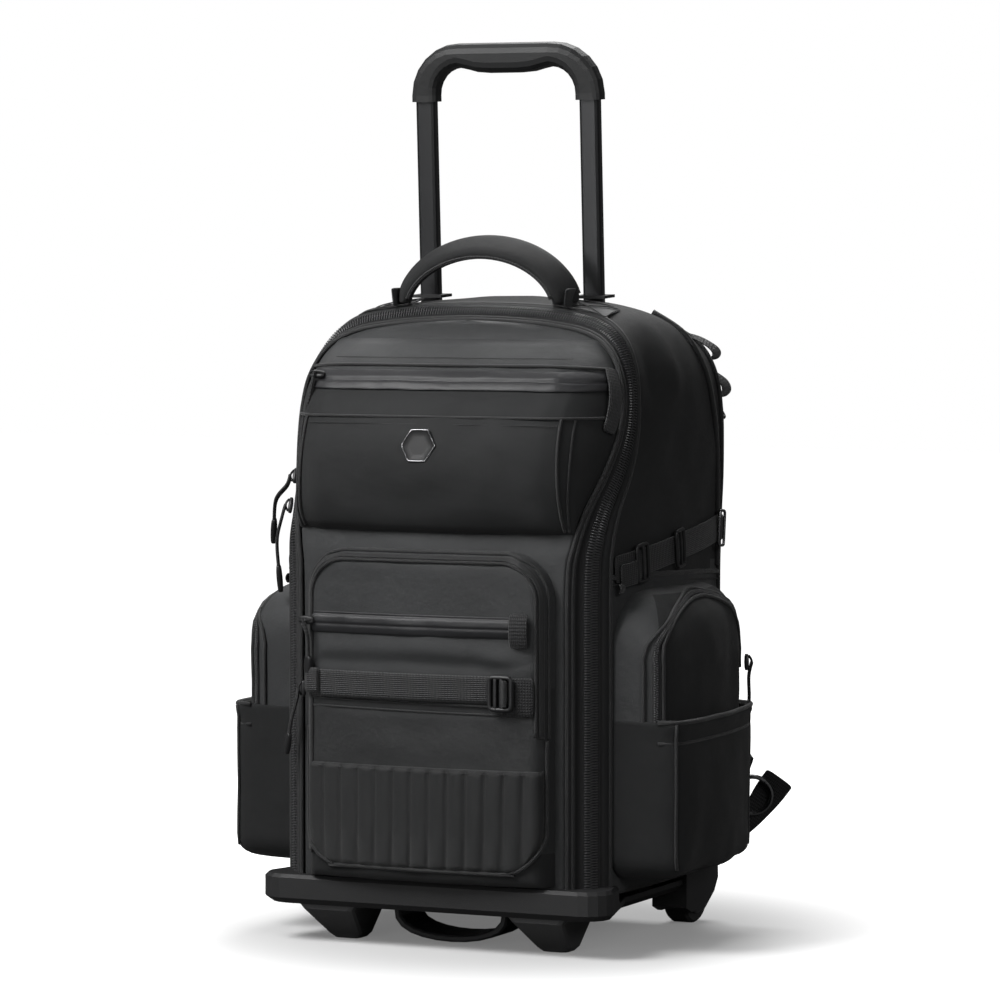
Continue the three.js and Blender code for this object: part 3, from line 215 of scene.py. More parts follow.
def dust_group() -> bpy.types.NodeTree:
    """Make the faint lint and rubbed edges that every finish shares.

    Returns:
        A group whose Color is the given colour with dust and wear, and whose Rough adds to the roughness.
    """
    def build(sketch: NodeSketch, source: bpy.types.Node) -> dict[str, bpy.types.NodeSocket]:
        place = sketch.add("TexCoord").outputs["Object"]
        lint = sketch.add("TexNoise", Vector=place, Scale=900.0, Detail=2.0)
        cloud = sketch.add("TexNoise", Vector=place, Scale=9.0, Detail=3.0)
        specks = sketch.math("GREATER_THAN", lint.outputs["Fac"], 0.74)
        patches = sketch.math("MULTIPLY", specks, cloud.outputs["Fac"])
        edge = sketch.add("NewGeometry").outputs["Pointiness"]
        worn = sketch.math("MULTIPLY", sketch.math("SUBTRACT", edge, 0.53), 9.0, clamp=True)
        amount = sketch.math("ADD", sketch.math("MULTIPLY", patches, source.outputs["Lint"]),
                             sketch.math("MULTIPLY", worn, source.outputs["Wear"]), clamp=True)
        colour = sketch.mix(amount, source.outputs["Base Color"], source.outputs["Dust Color"])
        rough = sketch.math("MULTIPLY", sketch.math("SUBTRACT", cloud.outputs["Fac"], 0.5), 0.12)
        return {"Color": colour, "Rough": rough}
    return make_group("dust", {"Base Color": (0.03, 0.03, 0.03, 1.0), "Dust Color": (0.2, 0.2, 0.2, 1.0),
                               "Lint": 0.2, "Wear": 0.1}, ("Color", "Rough"), build)


def grain_group() -> bpy.types.NodeTree:
    """Make the fine grain of moulded plastic and rubber.

    Returns:
        A group whose Height is a fine pebbled grain.
    """
    def build(sketch: NodeSketch, source: bpy.types.Node) -> dict[str, bpy.types.NodeSocket]:
        place = sketch.add("TexCoord").outputs["Object"]
        cells = sketch.add("TexVoronoi", {"feature": "SMOOTH_F1"}, Vector=place)
        sketch.set(cells, "Scale", source.outputs["Grains"])
        soft = sketch.add("TexNoise", Vector=place, Scale=300.0, Detail=2.0)
        height = sketch.math("ADD", cells.outputs["Distance"],
                             sketch.math("MULTIPLY", soft.outputs["Fac"], 0.4))
        return {"Height": height}
    return make_group("grain", {"Grains": 1500.0}, ("Height",), build)


def rib_group() -> bpy.types.NodeTree:
    """Make the cross ribs of webbing.

    Returns:
        A group whose Height is a row of ribs across the webbing's UV run. Its Shade darkens between them.
    """
    def build(sketch: NodeSketch, source: bpy.types.Node) -> dict[str, bpy.types.NodeSocket]:
        place = sketch.add("TexCoord").outputs["UV"]
        ribs = sketch.add("TexWave", {"bands_direction": "X"}, Vector=place, Distortion=0.2)
        sketch.set(ribs, "Scale", source.outputs["Ribs"])
        cords = sketch.add("TexWave", {"bands_direction": "Y"}, Vector=place)
        sketch.set(cords, "Scale", source.outputs["Cords"])
        height = sketch.math("ADD", ribs.outputs["Fac"], sketch.math("MULTIPLY", cords.outputs["Fac"], 0.6))
        return {"Height": height, "Shade": sketch.math("MULTIPLY", height, 0.6)}
    return make_group("ribs", {"Ribs": 160.0, "Cords": 110.0}, ("Height", "Shade"), build)


class Texture(Enum):
    """The fine surface that a finish has."""

    WEAVE = "weave"
    RIBS = "ribs"
    GRAIN = "grain"
    PLAIN = "plain"


@dataclass(frozen=True)
class Finish:
    """One material of the bag: its colour, gloss and fine surface."""

    name: str
    colour: tuple[float, float, float]
    light: tuple[float, float, float]
    roughness: float
    texture: Texture = Texture.PLAIN
    scale: float = 400.0
    depth: float = 0.0
    metallic: float = 0.0
    sheen: float = 0.0
    coat: float = 0.0
    specular: float = 0.3
    lint: float = 0.15
    wear: float = 0.05
    wrinkle: float = 0.0

    def build(self) -> bpy.types.Material:
        """Make the material, or return it if it exists.

        Returns:
            The material.
        """
        if self.name in bpy.data.materials:
            return bpy.data.materials[self.name]
        material = bpy.data.materials.new(self.name)
        material.use_nodes = True
        material.node_tree.nodes.clear()
        sketch = NodeSketch(material.node_tree)
        shader = sketch.add("BsdfPrincipled")
        shader.inputs["Metallic"].default_value = self.metallic
        shader.inputs["Specular IOR Level"].default_value = self.specular
        shader.inputs["Sheen Weight"].default_value = self.sheen
        shader.inputs["Sheen Roughness"].default_value = 0.45
        shader.inputs["Coat Weight"].default_value = self.coat
        shader.inputs["Coat Roughness"].default_value = 0.22
        height, shade = self._fine_surface(sketch)
        base = sketch.mix(shade, (*self.colour, 1.0), (*self.light, 1.0))
        dust = sketch.add("Group", {"node_tree": dust_group()})
        sketch.set(dust, "Base Color", base)
        sketch.set(dust, "Dust Color", (*[min(1.0, channel * 2.2 + 0.03) for channel in self.light], 1.0))
        sketch.set(dust, "Lint", self.lint)
        sketch.set(dust, "Wear", self.wear)
        sketch.set(shader, "Base Color", dust.outputs["Color"])
        sketch.set(shader, "Roughness", sketch.math("ADD", dust.outputs["Rough"], self.roughness, clamp=True))
        sketch.set(shader, "Normal", self._relief(sketch, height))
        output = sketch.add("OutputMaterial")
        sketch.set(output, "Surface", shader.outputs[0])
        return material

    def _fine_surface(self, sketch: NodeSketch) -> tuple[object, object]:
        """Place the finish's own texture group.

        Args:
            sketch: the material's sketch.

        Returns:
            Its height and its shade, as sockets or plain numbers.
        """
        if self.texture is Texture.WEAVE:
            group = sketch.add("Group", {"node_tree": weave_group()})
            sketch.set(group, "Threads", self.scale)
            return group.outputs["Height"], group.outputs["Shade"]
        if self.texture is Texture.RIBS:
            group = sketch.add("Group", {"node_tree": rib_group()})
            sketch.set(group, "Ribs", self.scale)
            return group.outputs["Height"], group.outputs["Shade"]
        if self.texture is Texture.GRAIN:
            group = sketch.add("Group", {"node_tree": grain_group()})
            sketch.set(group, "Grains", self.scale)
            return group.outputs["Height"], 0.3
        return None, 0.3

    def _relief(self, sketch: NodeSketch, height: object) -> bpy.types.NodeSocket:
        """Turn the fine surface and soft wrinkles into a normal.

        Args:
            sketch: the material's sketch.
            height: the fine surface's height, or None.

        Returns:
            The normal's socket.
        """
        place = sketch.add("TexCoord").outputs["Object"]
        ripple = sketch.add("TexNoise", Vector=place, Scale=26.0, Detail=4.0, Roughness=0.55)
        soft = sketch.add("Bump", Strength=1.0, Distance=self.wrinkle, Height=ripple.outputs["Fac"])
        if height is None:
            return soft.outputs[0]
        fine = sketch.add("Bump", Strength=1.0, Distance=self.depth, Height=height, Normal=soft.outputs[0])
        return fine.outputs[0]


CLOTH = Finish("woven_nylon", (0.006, 0.0062, 0.0065), (0.018, 0.0185, 0.019), 0.62, Texture.WEAVE, 390.0,
               depth=0.00025, sheen=0.05, specular=0.2, lint=0.1, wrinkle=0.0016)
POUCH_CLOTH = Finish("pouch_nylon", (0.008, 0.0083, 0.0086), (0.0235, 0.0241, 0.0247), 0.6, Texture.WEAVE,
                     390.0, depth=0.00025, sheen=0.05, specular=0.2, lint=0.1, wrinkle=0.0016)
COATED = Finish("coated_nylon", (0.014, 0.0145, 0.015), (0.036, 0.0375, 0.039), 0.5, Texture.WEAVE, 470.0,
                depth=0.00016, sheen=0.1, lint=0.1, wrinkle=0.0022)
# Painted shade: a darker copy of the coated nylon, given to the lower pocket below its webbing so that it
# darkens towards the bottom.
SHADED_COAT = Finish("coated_nylon_painted_shade", (0.008, 0.0083, 0.0086), (0.021, 0.0218, 0.0226), 0.52,
                    Texture.WEAVE, 470.0, depth=0.00016, sheen=0.1, lint=0.1, wrinkle=0.0022)
RIBBED = Finish("ribbed_nylon", (0.006, 0.0062, 0.0064), (0.0165, 0.017, 0.0174), 0.55, Texture.WEAVE, 470.0,
                depth=0.00018, sheen=0.1, wrinkle=0.0008)
GLOSSY = Finish("coated_zip_strip", (0.01, 0.01, 0.011), (0.02, 0.02, 0.022), 0.47, Texture.WEAVE, 300.0,
                depth=0.00008, coat=0.03, wrinkle=0.0014)
PIPING = Finish("piping_cloth", (0.006, 0.006, 0.0065), (0.018, 0.0185, 0.019), 0.5, Texture.WEAVE, 700.0,
                depth=0.00015, sheen=0.15, lint=0.05)
TAPE = Finish("zip_tape", (0.006, 0.006, 0.0065), (0.016, 0.016, 0.017), 0.7, Texture.WEAVE, 520.0,
              depth=0.0003, sheen=0.08)
WEBBING = Finish("woven_webbing", (0.008, 0.008, 0.0085), (0.026, 0.026, 0.027), 0.6, Texture.RIBS, 190.0,
                 depth=0.00045, sheen=0.12, lint=0.05)
SPACER = Finish("padded_spacer_mesh", (0.006, 0.006, 0.0065), (0.022, 0.022, 0.023), 0.78, Texture.WEAVE,
                130.0, depth=0.0008, sheen=0.1, wrinkle=0.002)
THREAD = Finish("stitching_thread", (0.02, 0.02, 0.021), (0.05, 0.05, 0.052), 0.45, Texture.WEAVE, 1800.0,
                depth=0.0001, lint=0.0)
COIL = Finish("zip_coil", (0.03, 0.03, 0.031), (0.07, 0.07, 0.072), 0.3, Texture.GRAIN, 2600.0,
              depth=0.00003, lint=0.0)
MOULDED = Finish("moulded_plastic", (0.011, 0.011, 0.0115), (0.022, 0.022, 0.0225), 0.55, Texture.GRAIN,
                 1500.0, depth=0.0001, lint=0.06, wear=0.1)
FOOT_PLASTIC = Finish("foot_plastic", (0.048, 0.048, 0.049), (0.078, 0.078, 0.079), 0.5, Texture.GRAIN,
                      1500.0, depth=0.0001, lint=0.06, wear=0.1)
HARD_CLIP = Finish("clip_plastic", (0.011, 0.011, 0.0115), (0.028, 0.028, 0.029), 0.36, Texture.GRAIN, 2200.0,
                   depth=0.00005, wear=0.15)
GRIP_PLASTIC = Finish("grip_plastic", (0.009, 0.0092, 0.0095), (0.018, 0.0185, 0.019), 0.52, Texture.GRAIN,
                      1900.0, depth=0.00006, wear=0.1, lint=0.04)
TYRE = Finish("wheel_tyre", (0.01, 0.01, 0.01), (0.022, 0.022, 0.022), 0.66, Texture.GRAIN, 900.0,
              depth=0.00012, lint=0.25, wear=0.2)
TUBE = Finish("anodised_tube", (0.03, 0.03, 0.031), (0.06, 0.061, 0.063), 0.3, Texture.GRAIN, 3000.0,
              depth=0.00002, metallic=0.9, wear=0.25, lint=0.02)
PLATED = Finish("plated_metal", (0.13, 0.13, 0.135), (0.26, 0.26, 0.265), 0.24, Texture.GRAIN, 2600.0,
                depth=0.00002, metallic=1.0, wear=0.25, lint=0.0)


# Mesh sketching


Row = Sequence[Vector]


def ease(low: float, high: float, value: float) -> float:
    """Rise smoothly from 0 at low to 1 at high."""
    share = min(1.0, max(0.0, (value - low) / (high - low)))
    return share * share * (3.0 - 2.0 * share)


def hump(centre: float, width: float, value: float) -> float:
    """Rise to 1 at centre and fall away over width on either side."""
    return math.exp(-((value - centre) / width) ** 2)


def spread(low: float, high: float, count: int) -> list[float]:
    """Give the ends and the values between them, with count equal steps."""
    return [low + (high - low) * i / count for i in range(count + 1)]


def smooth_path(points: Sequence[Sequence[float]], steps: int) -> list[Vector]:
    """Draw a smooth curve through points.

    Args:
        points: the points it passes through.
        steps: how many steps it takes between two of them.

    Returns:
        The points along the curve.
    """
    knots = [Vector(p) for p in points]
    last = len(knots) - 1
    path = []
    for i in range(last):
        before, start, end, after = (knots[min(max(i + k, 0), last)] for k in (-1, 0, 1, 2))
        for step in range(steps):
            t = step / steps
            path.append(0.5 * ((2 * start) + (end - before) * t + (2 * before - 5 * start + 4 * end - after)
                               * t * t
                               + (3 * start - before - 3 * end + after) * t ** 3))
    path.append(knots[-1])
    return path


def heading(path: Sequence[Vector], i: int, closed: bool = False) -> Vector:
    """Give the direction of a path at one of its points.

    Args:
        path: the path's points.
        i: the point's number.
        closed: whether the path returns to its start.

    Returns:
        A unit vector.
    """
    count = len(path)
    before = path[(i - 1) % count] if closed else path[max(i - 1, 0)]
    after = path[(i + 1) % count] if closed else path[min(i + 1, count - 1)]
    return (after - before).normalized()


def cushion(sides: int, wide_power: float, thick_power: float) -> list[tuple[float, float]]:
    """Give a flattened round section that reaches from -1 to 1 both ways.

    Args:
        sides: how many sides it has.
        wide_power: how square it is across, 1 being round.
        thick_power: how square it is through its thickness.

    Returns:
        Pairs of across and off.
    """
    section = []
    for angle in spread(0.0, 2 * math.pi, sides)[:-1]:
        c, s = math.cos(angle), math.sin(angle)
        section.append((math.copysign(abs(c) ** wide_power, c), math.copysign(abs(s) ** thick_power, s)))
    return section


def read_table(rows: Sequence[Sequence[float]], at: float) -> list[float]:
    """Read a table smoothly by its first column.

    Args:
        rows: rows of numbers whose first column rises.
        at: the value looked for in the first column.

    Returns:
        The other columns' values there.
    """
    if at <= rows[0][0]:
        return list(rows[0][1:])
    if at >= rows[-1][0]:
        return list(rows[-1][1:])
    i = next(k for k in range(1, len(rows)) if rows[k][0] >= at)
    before, start, end, after = (rows[min(max(i + k, 0), len(rows) - 1)] for k in (-2, -1, 0, 1))
    width = end[0] - start[0]
    t = (at - start[0]) / width
    values = []
    for c in range(1, len(start)):
        rise = (end[c] - before[c]) / max(end[0] - before[0], 1e-9) * width
        fall = (after[c] - start[c]) / max(after[0] - start[0], 1e-9) * width
        values.append((2 * t ** 3 - 3 * t ** 2 + 1) * start[c] + (t ** 3 - 2 * t ** 2 + t) * rise
                      + (3 * t ** 2 - 2 * t ** 3) * end[c] + (t ** 3 - t ** 2) * fall)
    return values


@dataclass
class Piece:
    """The points, faces and UVs of one piece that is being sewn or moulded, and the object they become."""

    name: str
    finishes: Sequence[Finish]
    slot: Slot = Slot.CLOTH
    points: list[Vector] = field(default_factory=list)
    faces: list[list[int]] = field(default_factory=list)
    uvs: list[list[tuple[float, float]]] = field(default_factory=list)
    finish_of: list[int] = field(default_factory=list)

    def face(self, corners: Sequence[int], uvs: Sequence[tuple[float, float]], finish: int = 0) -> None:
        """Add a face.

        Args:
            corners: the indices of its points.
            uvs: its corners' places on the cloth, in metres.
            finish: which of the piece's finishes it has.
        """
        self.faces.append(list(corners))
        self.uvs.append(list(uvs))
        self.finish_of.append(finish)

    def paint(self, finish: int, chosen: Callable[[Vector], bool]) -> None:
        """Give one finish to every face whose middle is chosen.

        Args:
            finish: which of the piece's finishes they get.
            chosen: tells from a face's middle whether it is one of them.
        """
        for number, corners in enumerate(self.faces):
            if chosen(sum((self.points[i] for i in corners), Vector()) / len(corners)):
                self.finish_of[number] = finish

    def grid(self, rows: Sequence[Row], finish: int = 0, round_across: bool = False,
             flip: bool = False) -> None:
        """Add a sheet through rows of equally many points.

        Args:
            rows: the rows of points.
            finish: which of the piece's finishes it has.
            round_across: whether each row closes on itself.
            flip: whether the faces are turned round.
        """
        base, wide = len(self.points), len(rows[0])
        places, along = [], 0.0
        for r, row in enumerate(rows):
            if r:
                middle = wide // 2
                along += (row[middle] - rows[r - 1][middle]).length
            across = [0.0]
            for c in range(1, wide + (1 if round_across else 0)):
                across.append(across[-1] + (row[c % wide] - row[c - 1]).length)
            places.append([(a, along) for a in across])
            self.points.extend(Vector(p) for p in row)
        for r in range(len(rows) - 1):
            for c in range(wide if round_across else wide - 1):
                after = (c + 1) % wide
                corners = [base + r * wide + c, base + r * wide + after,
                           base + (r + 1) * wide + after, base + (r + 1) * wide + c]
                uvs = [places[r][c], places[r][c + 1], places[r + 1][c + 1], places[r + 1][c]]
                if flip:
                    corners.reverse()
                    uvs.reverse()
                self.face(corners, uvs, finish)

    def cap(self, ring: Row, finish: int = 0, flip: bool = False) -> None:
        """Close a ring of points with a fan.

        Args:
            ring: the ring's points.
            finish: which of the piece's finishes it has.
            flip: whether the faces are turned round.
        """
        base = len(self.points)
        middle = sum((Vector(p) for p in ring), Vector()) / len(ring)
        self.points.extend(Vector(p) for p in ring)
        self.points.append(middle)
        for i in range(len(ring)):
            corners = [base + i, base + (i + 1) % len(ring), base + len(ring)]
            uvs = [(ring[i].x, ring[i].z), (ring[(i + 1) % len(ring)].x, ring[(i + 1) % len(ring)].z),
                   (middle.x, middle.z)]
            self.face(corners[::-1] if flip else corners, uvs[::-1] if flip else uvs, finish)

    def sweep(self, path: Sequence[Vector], section: Sequence[tuple[float, float]],
              normals: Sequence[Vector] | Vector,
              finish: int = 0, closed: bool = False, swell: Callable[[float], float] | None = None) -> None:
        """Sweep a closed section along a path, with caps at its open ends.

        Args:
            path: the path's points.
            section: the section as pairs of across and off, in metres.
            normals: the off direction at each point, or one for all.
            finish: which of the piece's finishes it has.
            closed: whether the path returns to its start.
            swell: scales the section along the path's share, if given.
        """
        rings = []
        count = len(path)
        for i, at in enumerate(path):
            along = heading(path, i, closed)
            normal = normals if isinstance(normals, Vector) else normals[i]
            across = along.cross(normal)
            across = across.normalized() if across.length > 1e-9 else along.orthogonal().normalized()
            off = across.cross(along)
            size = swell(i / max(count - 1, 1)) if swell else 1.0
            rings.append([at + across * (u * size) + off * (v * size) for u, v in section])
        if closed:
            rings.append(list(rings[0]))
        self.grid(rings, finish, round_across=True)
        if not closed:
            self.cap(rings[0], finish, flip=True)
            self.cap(rings[-1], finish)

    def tube(self, path: Sequence[Vector], radius: float, finish: int = 0, sides: int = 8,
             closed: bool = False) -> None:
        """Sweep a round section along a path.

        Args:
            path: the path's points.
            radius: the tube's radius.
            finish: which of the piece's finishes it has.
            sides: how many sides the section has.
            closed: whether the path returns to its start.
        """
        section = [(radius * math.cos(2 * math.pi * i / sides), radius * math.sin(2 * math.pi * i / sides))
                   for i in range(sides)]
        normal = Vector((0.13, 0.93, 0.34)).normalized()
        normals = []
        for i in range(len(path)):
            along = heading(path, i, closed)
            normal = (normal - along * normal.dot(along))
            normal = normal.normalized() if normal.length > 1e-6 else along.orthogonal().normalized()
            normals.append(normal.copy())
        self.sweep(path, section, normals, finish, closed)

    def ribbon(self, path: Sequence[Vector], width: float, thick: float, normals: Sequence[Vector] | Vector,
               finish: int = 0, swell: Callable[[float], float] | None = None) -> None:
        """Sweep a flat strap with rounded edges along a path.

        Args:
            path: the path's points.
            width: the strap's width.
            thick: its thickness.
            normals: the direction that its flat side faces, at each point or one for all.
            finish: which of the piece's finishes it has.
            swell: scales the section along the path's share, if given.
        """
        half, round_off = width / 2, thick * 0.45
        shares = (-1.0, -0.66, -0.33, 0.0, 0.33, 0.66, 1.0)
        top = [(half * s if abs(s) < 1 else s * (half - round_off * 0.3),
                thick / 2 if abs(s) < 1 else thick * 0.22)
               for s in shares]
        bottom = [(u, -v) for u, v in reversed(top)]
        self.sweep(path, top + bottom, normals, finish, swell=swell)

    def build(self, smooth: bool = True, levels: int = 0, thick: float = 0.0, body: str = BODY,
              weld: float = 1e-5) -> bpy.types.Object:
        """Turn the sketch into an object that rides on a body.

        Args:
            smooth: whether its faces are shaded smooth.
            levels: how many times it is subdivided.
            thick: the cloth's thickness where the sketch is a single sheet.
            body: the body that it rides on.
            weld: points closer than this become one.

        Returns:
            The object.
        """
        mesh = bpy.data.meshes.new(self.name)
        mesh.from_pydata([p + Vector((0.0, SHIFT.value, 0.0)) for p in self.points], [], self.faces)
        layer = mesh.uv_layers.new(name="cloth")
        loop = 0
        for polygon, uvs in zip(mesh.polygons, self.uvs):
            polygon.material_index = self.finish_of[polygon.index]
            for uv in uvs:
                layer.data[loop].uv = uv
                loop += 1
        for finish in self.finishes:
            mesh.materials.append(finish.build())
        work = bmesh.new()
        work.from_mesh(mesh)
        bmesh.ops.remove_doubles(work, verts=work.verts, dist=weld)
        work.to_mesh(mesh)
        work.free()
        mesh.polygons.foreach_set("use_smooth", [smooth] * len(mesh.polygons))
        piece = bpy.data.objects.new(self.name, mesh)
        bpy.context.scene.collection.objects.link(piece)
        if thick:
            solid = piece.modifiers.new("thickness", "SOLIDIFY")
            solid.thickness = thick
            solid.offset = -1.0
        if levels:
            refine = piece.modifiers.new("smoothing", "SUBSURF")
            refine.levels = refine.render_levels = levels
        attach(piece, body)
        return piece


@dataclass
class DatumShift:
    """How far the datum at the door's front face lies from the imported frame's middle."""

    value: float = 0.0


SHIFT = DatumShift()


# The bag's form


def ruffle(point: Vector, size: float, height: float, seed: float = 0.0) -> float:
    """Give cloth's soft unevenness at a point. The seed moves its pattern, so that pieces differ."""
    at = point / size + Vector((seed * 7.3, seed * 3.1, seed * 5.7))
    return height * (noise.noise(at) + 0.5 * noise.noise(at * 2.1))


@dataclass(frozen=True)
class Fold:
    """A ridge or a crease that runs over the cloth along a line of points."""

    path: tuple[tuple[float, float, float], ...]
    width: float
    height: float
    fade: float = 0.25

    def lift(self, point: Vector) -> float:
        """Give how far the fold lifts the cloth at a point.

        Args:
            point: a point of the cloth.

        Returns:
            A lift in metres, below zero in a crease.
        """
        best, share = 1e9, 0.0
        count = len(self.path) - 1
        for i in range(count):
            start, end = Vector(self.path[i]), Vector(self.path[i + 1])
            run = end - start
            t = min(1.0, max(0.0, (point - start).dot(run) / run.length_squared))
            gap = (point - start - run * t).length
            if gap < best:
                best, share = gap, (i + t) / count
        ends = ease(0.0, self.fade, share) * ease(0.0, self.fade, 1.0 - share) if self.fade else 1.0
        return self.height * ends * math.exp(-(best / self.width) ** 2)


@dataclass(frozen=True)
class BagForm:
    """The soft bag's shared shape, which every sewn piece follows. Its datum is the door's front face."""

    bottom: float = 0.046
    height: float = 0.495
    half: float = 0.15
    depth: float = 0.262
    back_pad: float = 0.014
    bulge: float = 0.009
    flare: float = 0.006
    back_drop: float = 0.014
    door_crown: float = 0.01
    pouch_swell: float = 0.006
    # door height, door half width, door set-back, body height, body half width, body set-back, as shares
    zip_rows: tuple[tuple[float, ...], ...] = (
        (0.01, 0.823, 0.0, 0.01, 0.99, 0.112), (0.18, 0.823, 0.0, 0.18, 0.99, 0.112),
        (0.36, 0.823, 0.0, 0.36, 0.99, 0.112), (0.54, 0.825, 0.0, 0.545, 0.99, 0.112),
        (0.6, 0.85, 0.012, 0.605, 0.995, 0.124), (0.655, 0.89, 0.05, 0.66, 1.0, 0.172),
        (0.712, 0.943, 0.112, 0.716, 1.008, 0.248), (0.77, 0.985, 0.168, 0.776, 1.01, 0.3),
        (0.826, 0.996, 0.204, 0.838, 1.005, 0.318), (0.878, 0.966, 0.224, 0.9, 0.975, 0.33),
        (0.924, 0.88, 0.25, 0.95, 0.89, 0.345), (0.952, 0.73, 0.272, 0.98, 0.74, 0.36),
        (0.966, 0.48, 0.286, 0.994, 0.49, 0.372), (0.972, 0.22, 0.292, 0.999, 0.225, 0.378),
        (0.974, 0.0, 0.294, 1.0, 0.0, 0.38))
    # height, half width and set-back of the upper pouch's front, as shares
    pouch_rows: tuple[tuple[float, ...], ...] = (
        (0.618, 0.8, 0.01), (0.632, 0.805, -0.022), (0.668, 0.8, -0.052), (0.72, 0.792, -0.062),
        (0.776, 0.785, -0.044), (0.826, 0.785, 0.0), (0.868, 0.79, 0.066), (0.908, 0.76, 0.142),
        (0.934, 0.7, 0.208))

    @property
    def crown(self) -> float:
        """Give the row number of the zip's highest point."""
        return float(len(self.zip_rows) - 1)

    @property
    def rear(self) -> float:
        """Give where the back pad starts."""
        return self.depth - self.back_pad

    def height_at(self, rise: float) -> float:
        """Turn a share of the height into a height above the floor."""
        return self.bottom + rise * self.height

    def rise_at(self, z: float) -> float:
        """Turn a height above the floor into a share of the height."""
        return (z - self.bottom) / self.height

    def zip_row(self, row: float) -> list[float]:
        """Read the zip's rows smoothly by row number."""
        return read_table([(float(i), *values) for i, values in enumerate(self.zip_rows)], row)

    def door_edge(self, side: int, row: float) -> Vector:
        """Give the zip's inner edge at a row, on one side."""
        rise, half, set_back = self.zip_row(row)[:3]
        return Vector((side * half * self.half, set_back * self.depth, self.height_at(rise)))

    def body_edge(self, side: int, row: float) -> Vector:
        """Give the zip's outer edge at a row, on one side."""
        rise, half, set_back = self.zip_row(row)[3:]
        return Vector((side * half * self.half, set_back * self.depth, self.height_at(rise)))

    def body_point(self, side: int, row: float, share: float, lift: float = 0.0) -> Vector:
        """Give a point of the body's skin.

        Args:
            side: -1 or 1.
            row: the row number of its line from front to back.
            share: how far back it lies, from 0 to 1.
            lift: how far off the skin it stands.

        Returns:
            The point.
        """
        edge = self.body_edge(1, row)
        before = self.body_edge(1, max(row - 0.06, 0.0))
        after = self.body_edge(1, min(row + 0.06, self.crown))
        if row > self.crown - 0.06:
            after = Vector((-before.x, before.y, before.z)) if row >= self.crown else after
        run = Vector((after.x - before.x, 0.0, after.z - before.z)).normalized()
        outward = Vector((run.z, 0.0, -run.x))
        swell = self.bulge * math.sin(math.pi * share) + lift
        rise = max(0.0, self.rise_at(edge.z))
        x = edge.x * (1 + self.flare / self.half * share) + outward.x * swell
        return Vector((side * x, edge.y + (self.rear - edge.y) * share,
                       edge.z - self.back_drop * rise * share ** 2 + outward.z * swell))

    def door_face(self, x: float, z: float) -> float:
        """Give how far back the door's face lies.

        Args:
            x: how far across.
            z: how high.

        Returns:
            Its distance behind the datum.
        """
        half, set_back = read_table([(row[0], row[1], row[2]) for row in self.zip_rows], self.rise_at(z))
        across = min(abs(x) / max(half * self.half, 0.001), 1.0)
        return set_back * self.depth - self.door_crown * (1 - across ** 2)

    def pouch_face(self, x: float, z: float) -> float:
        """Give how far back the upper pouch's face lies.

        Args:
            x: how far across.
            z: how high.

        Returns:
            Its distance behind the datum.
        """
        half, set_back = read_table(self.pouch_rows, self.rise_at(z))
        across = min(abs(x) / (half * self.half), 1.0)
        return set_back * self.depth - self.pouch_swell * (1 - across ** 2)

    def body_side(self, y: float, z: float) -> float:
        """Give how far out the body's side lies.

        Args:
            y: how far back.
            z: how high.

        Returns:
            Its distance from the middle plane.
        """
        half, set_back = read_table([(row[3], row[4], row[5]) for row in self.zip_rows], self.rise_at(z))
        front = set_back * self.depth
        along = min(1.0, max(0.0, (y - front) / (self.rear - front)))
        return half * self.half + self.bulge * math.sin(math.pi * along) + self.flare * along


FORM = BagForm()


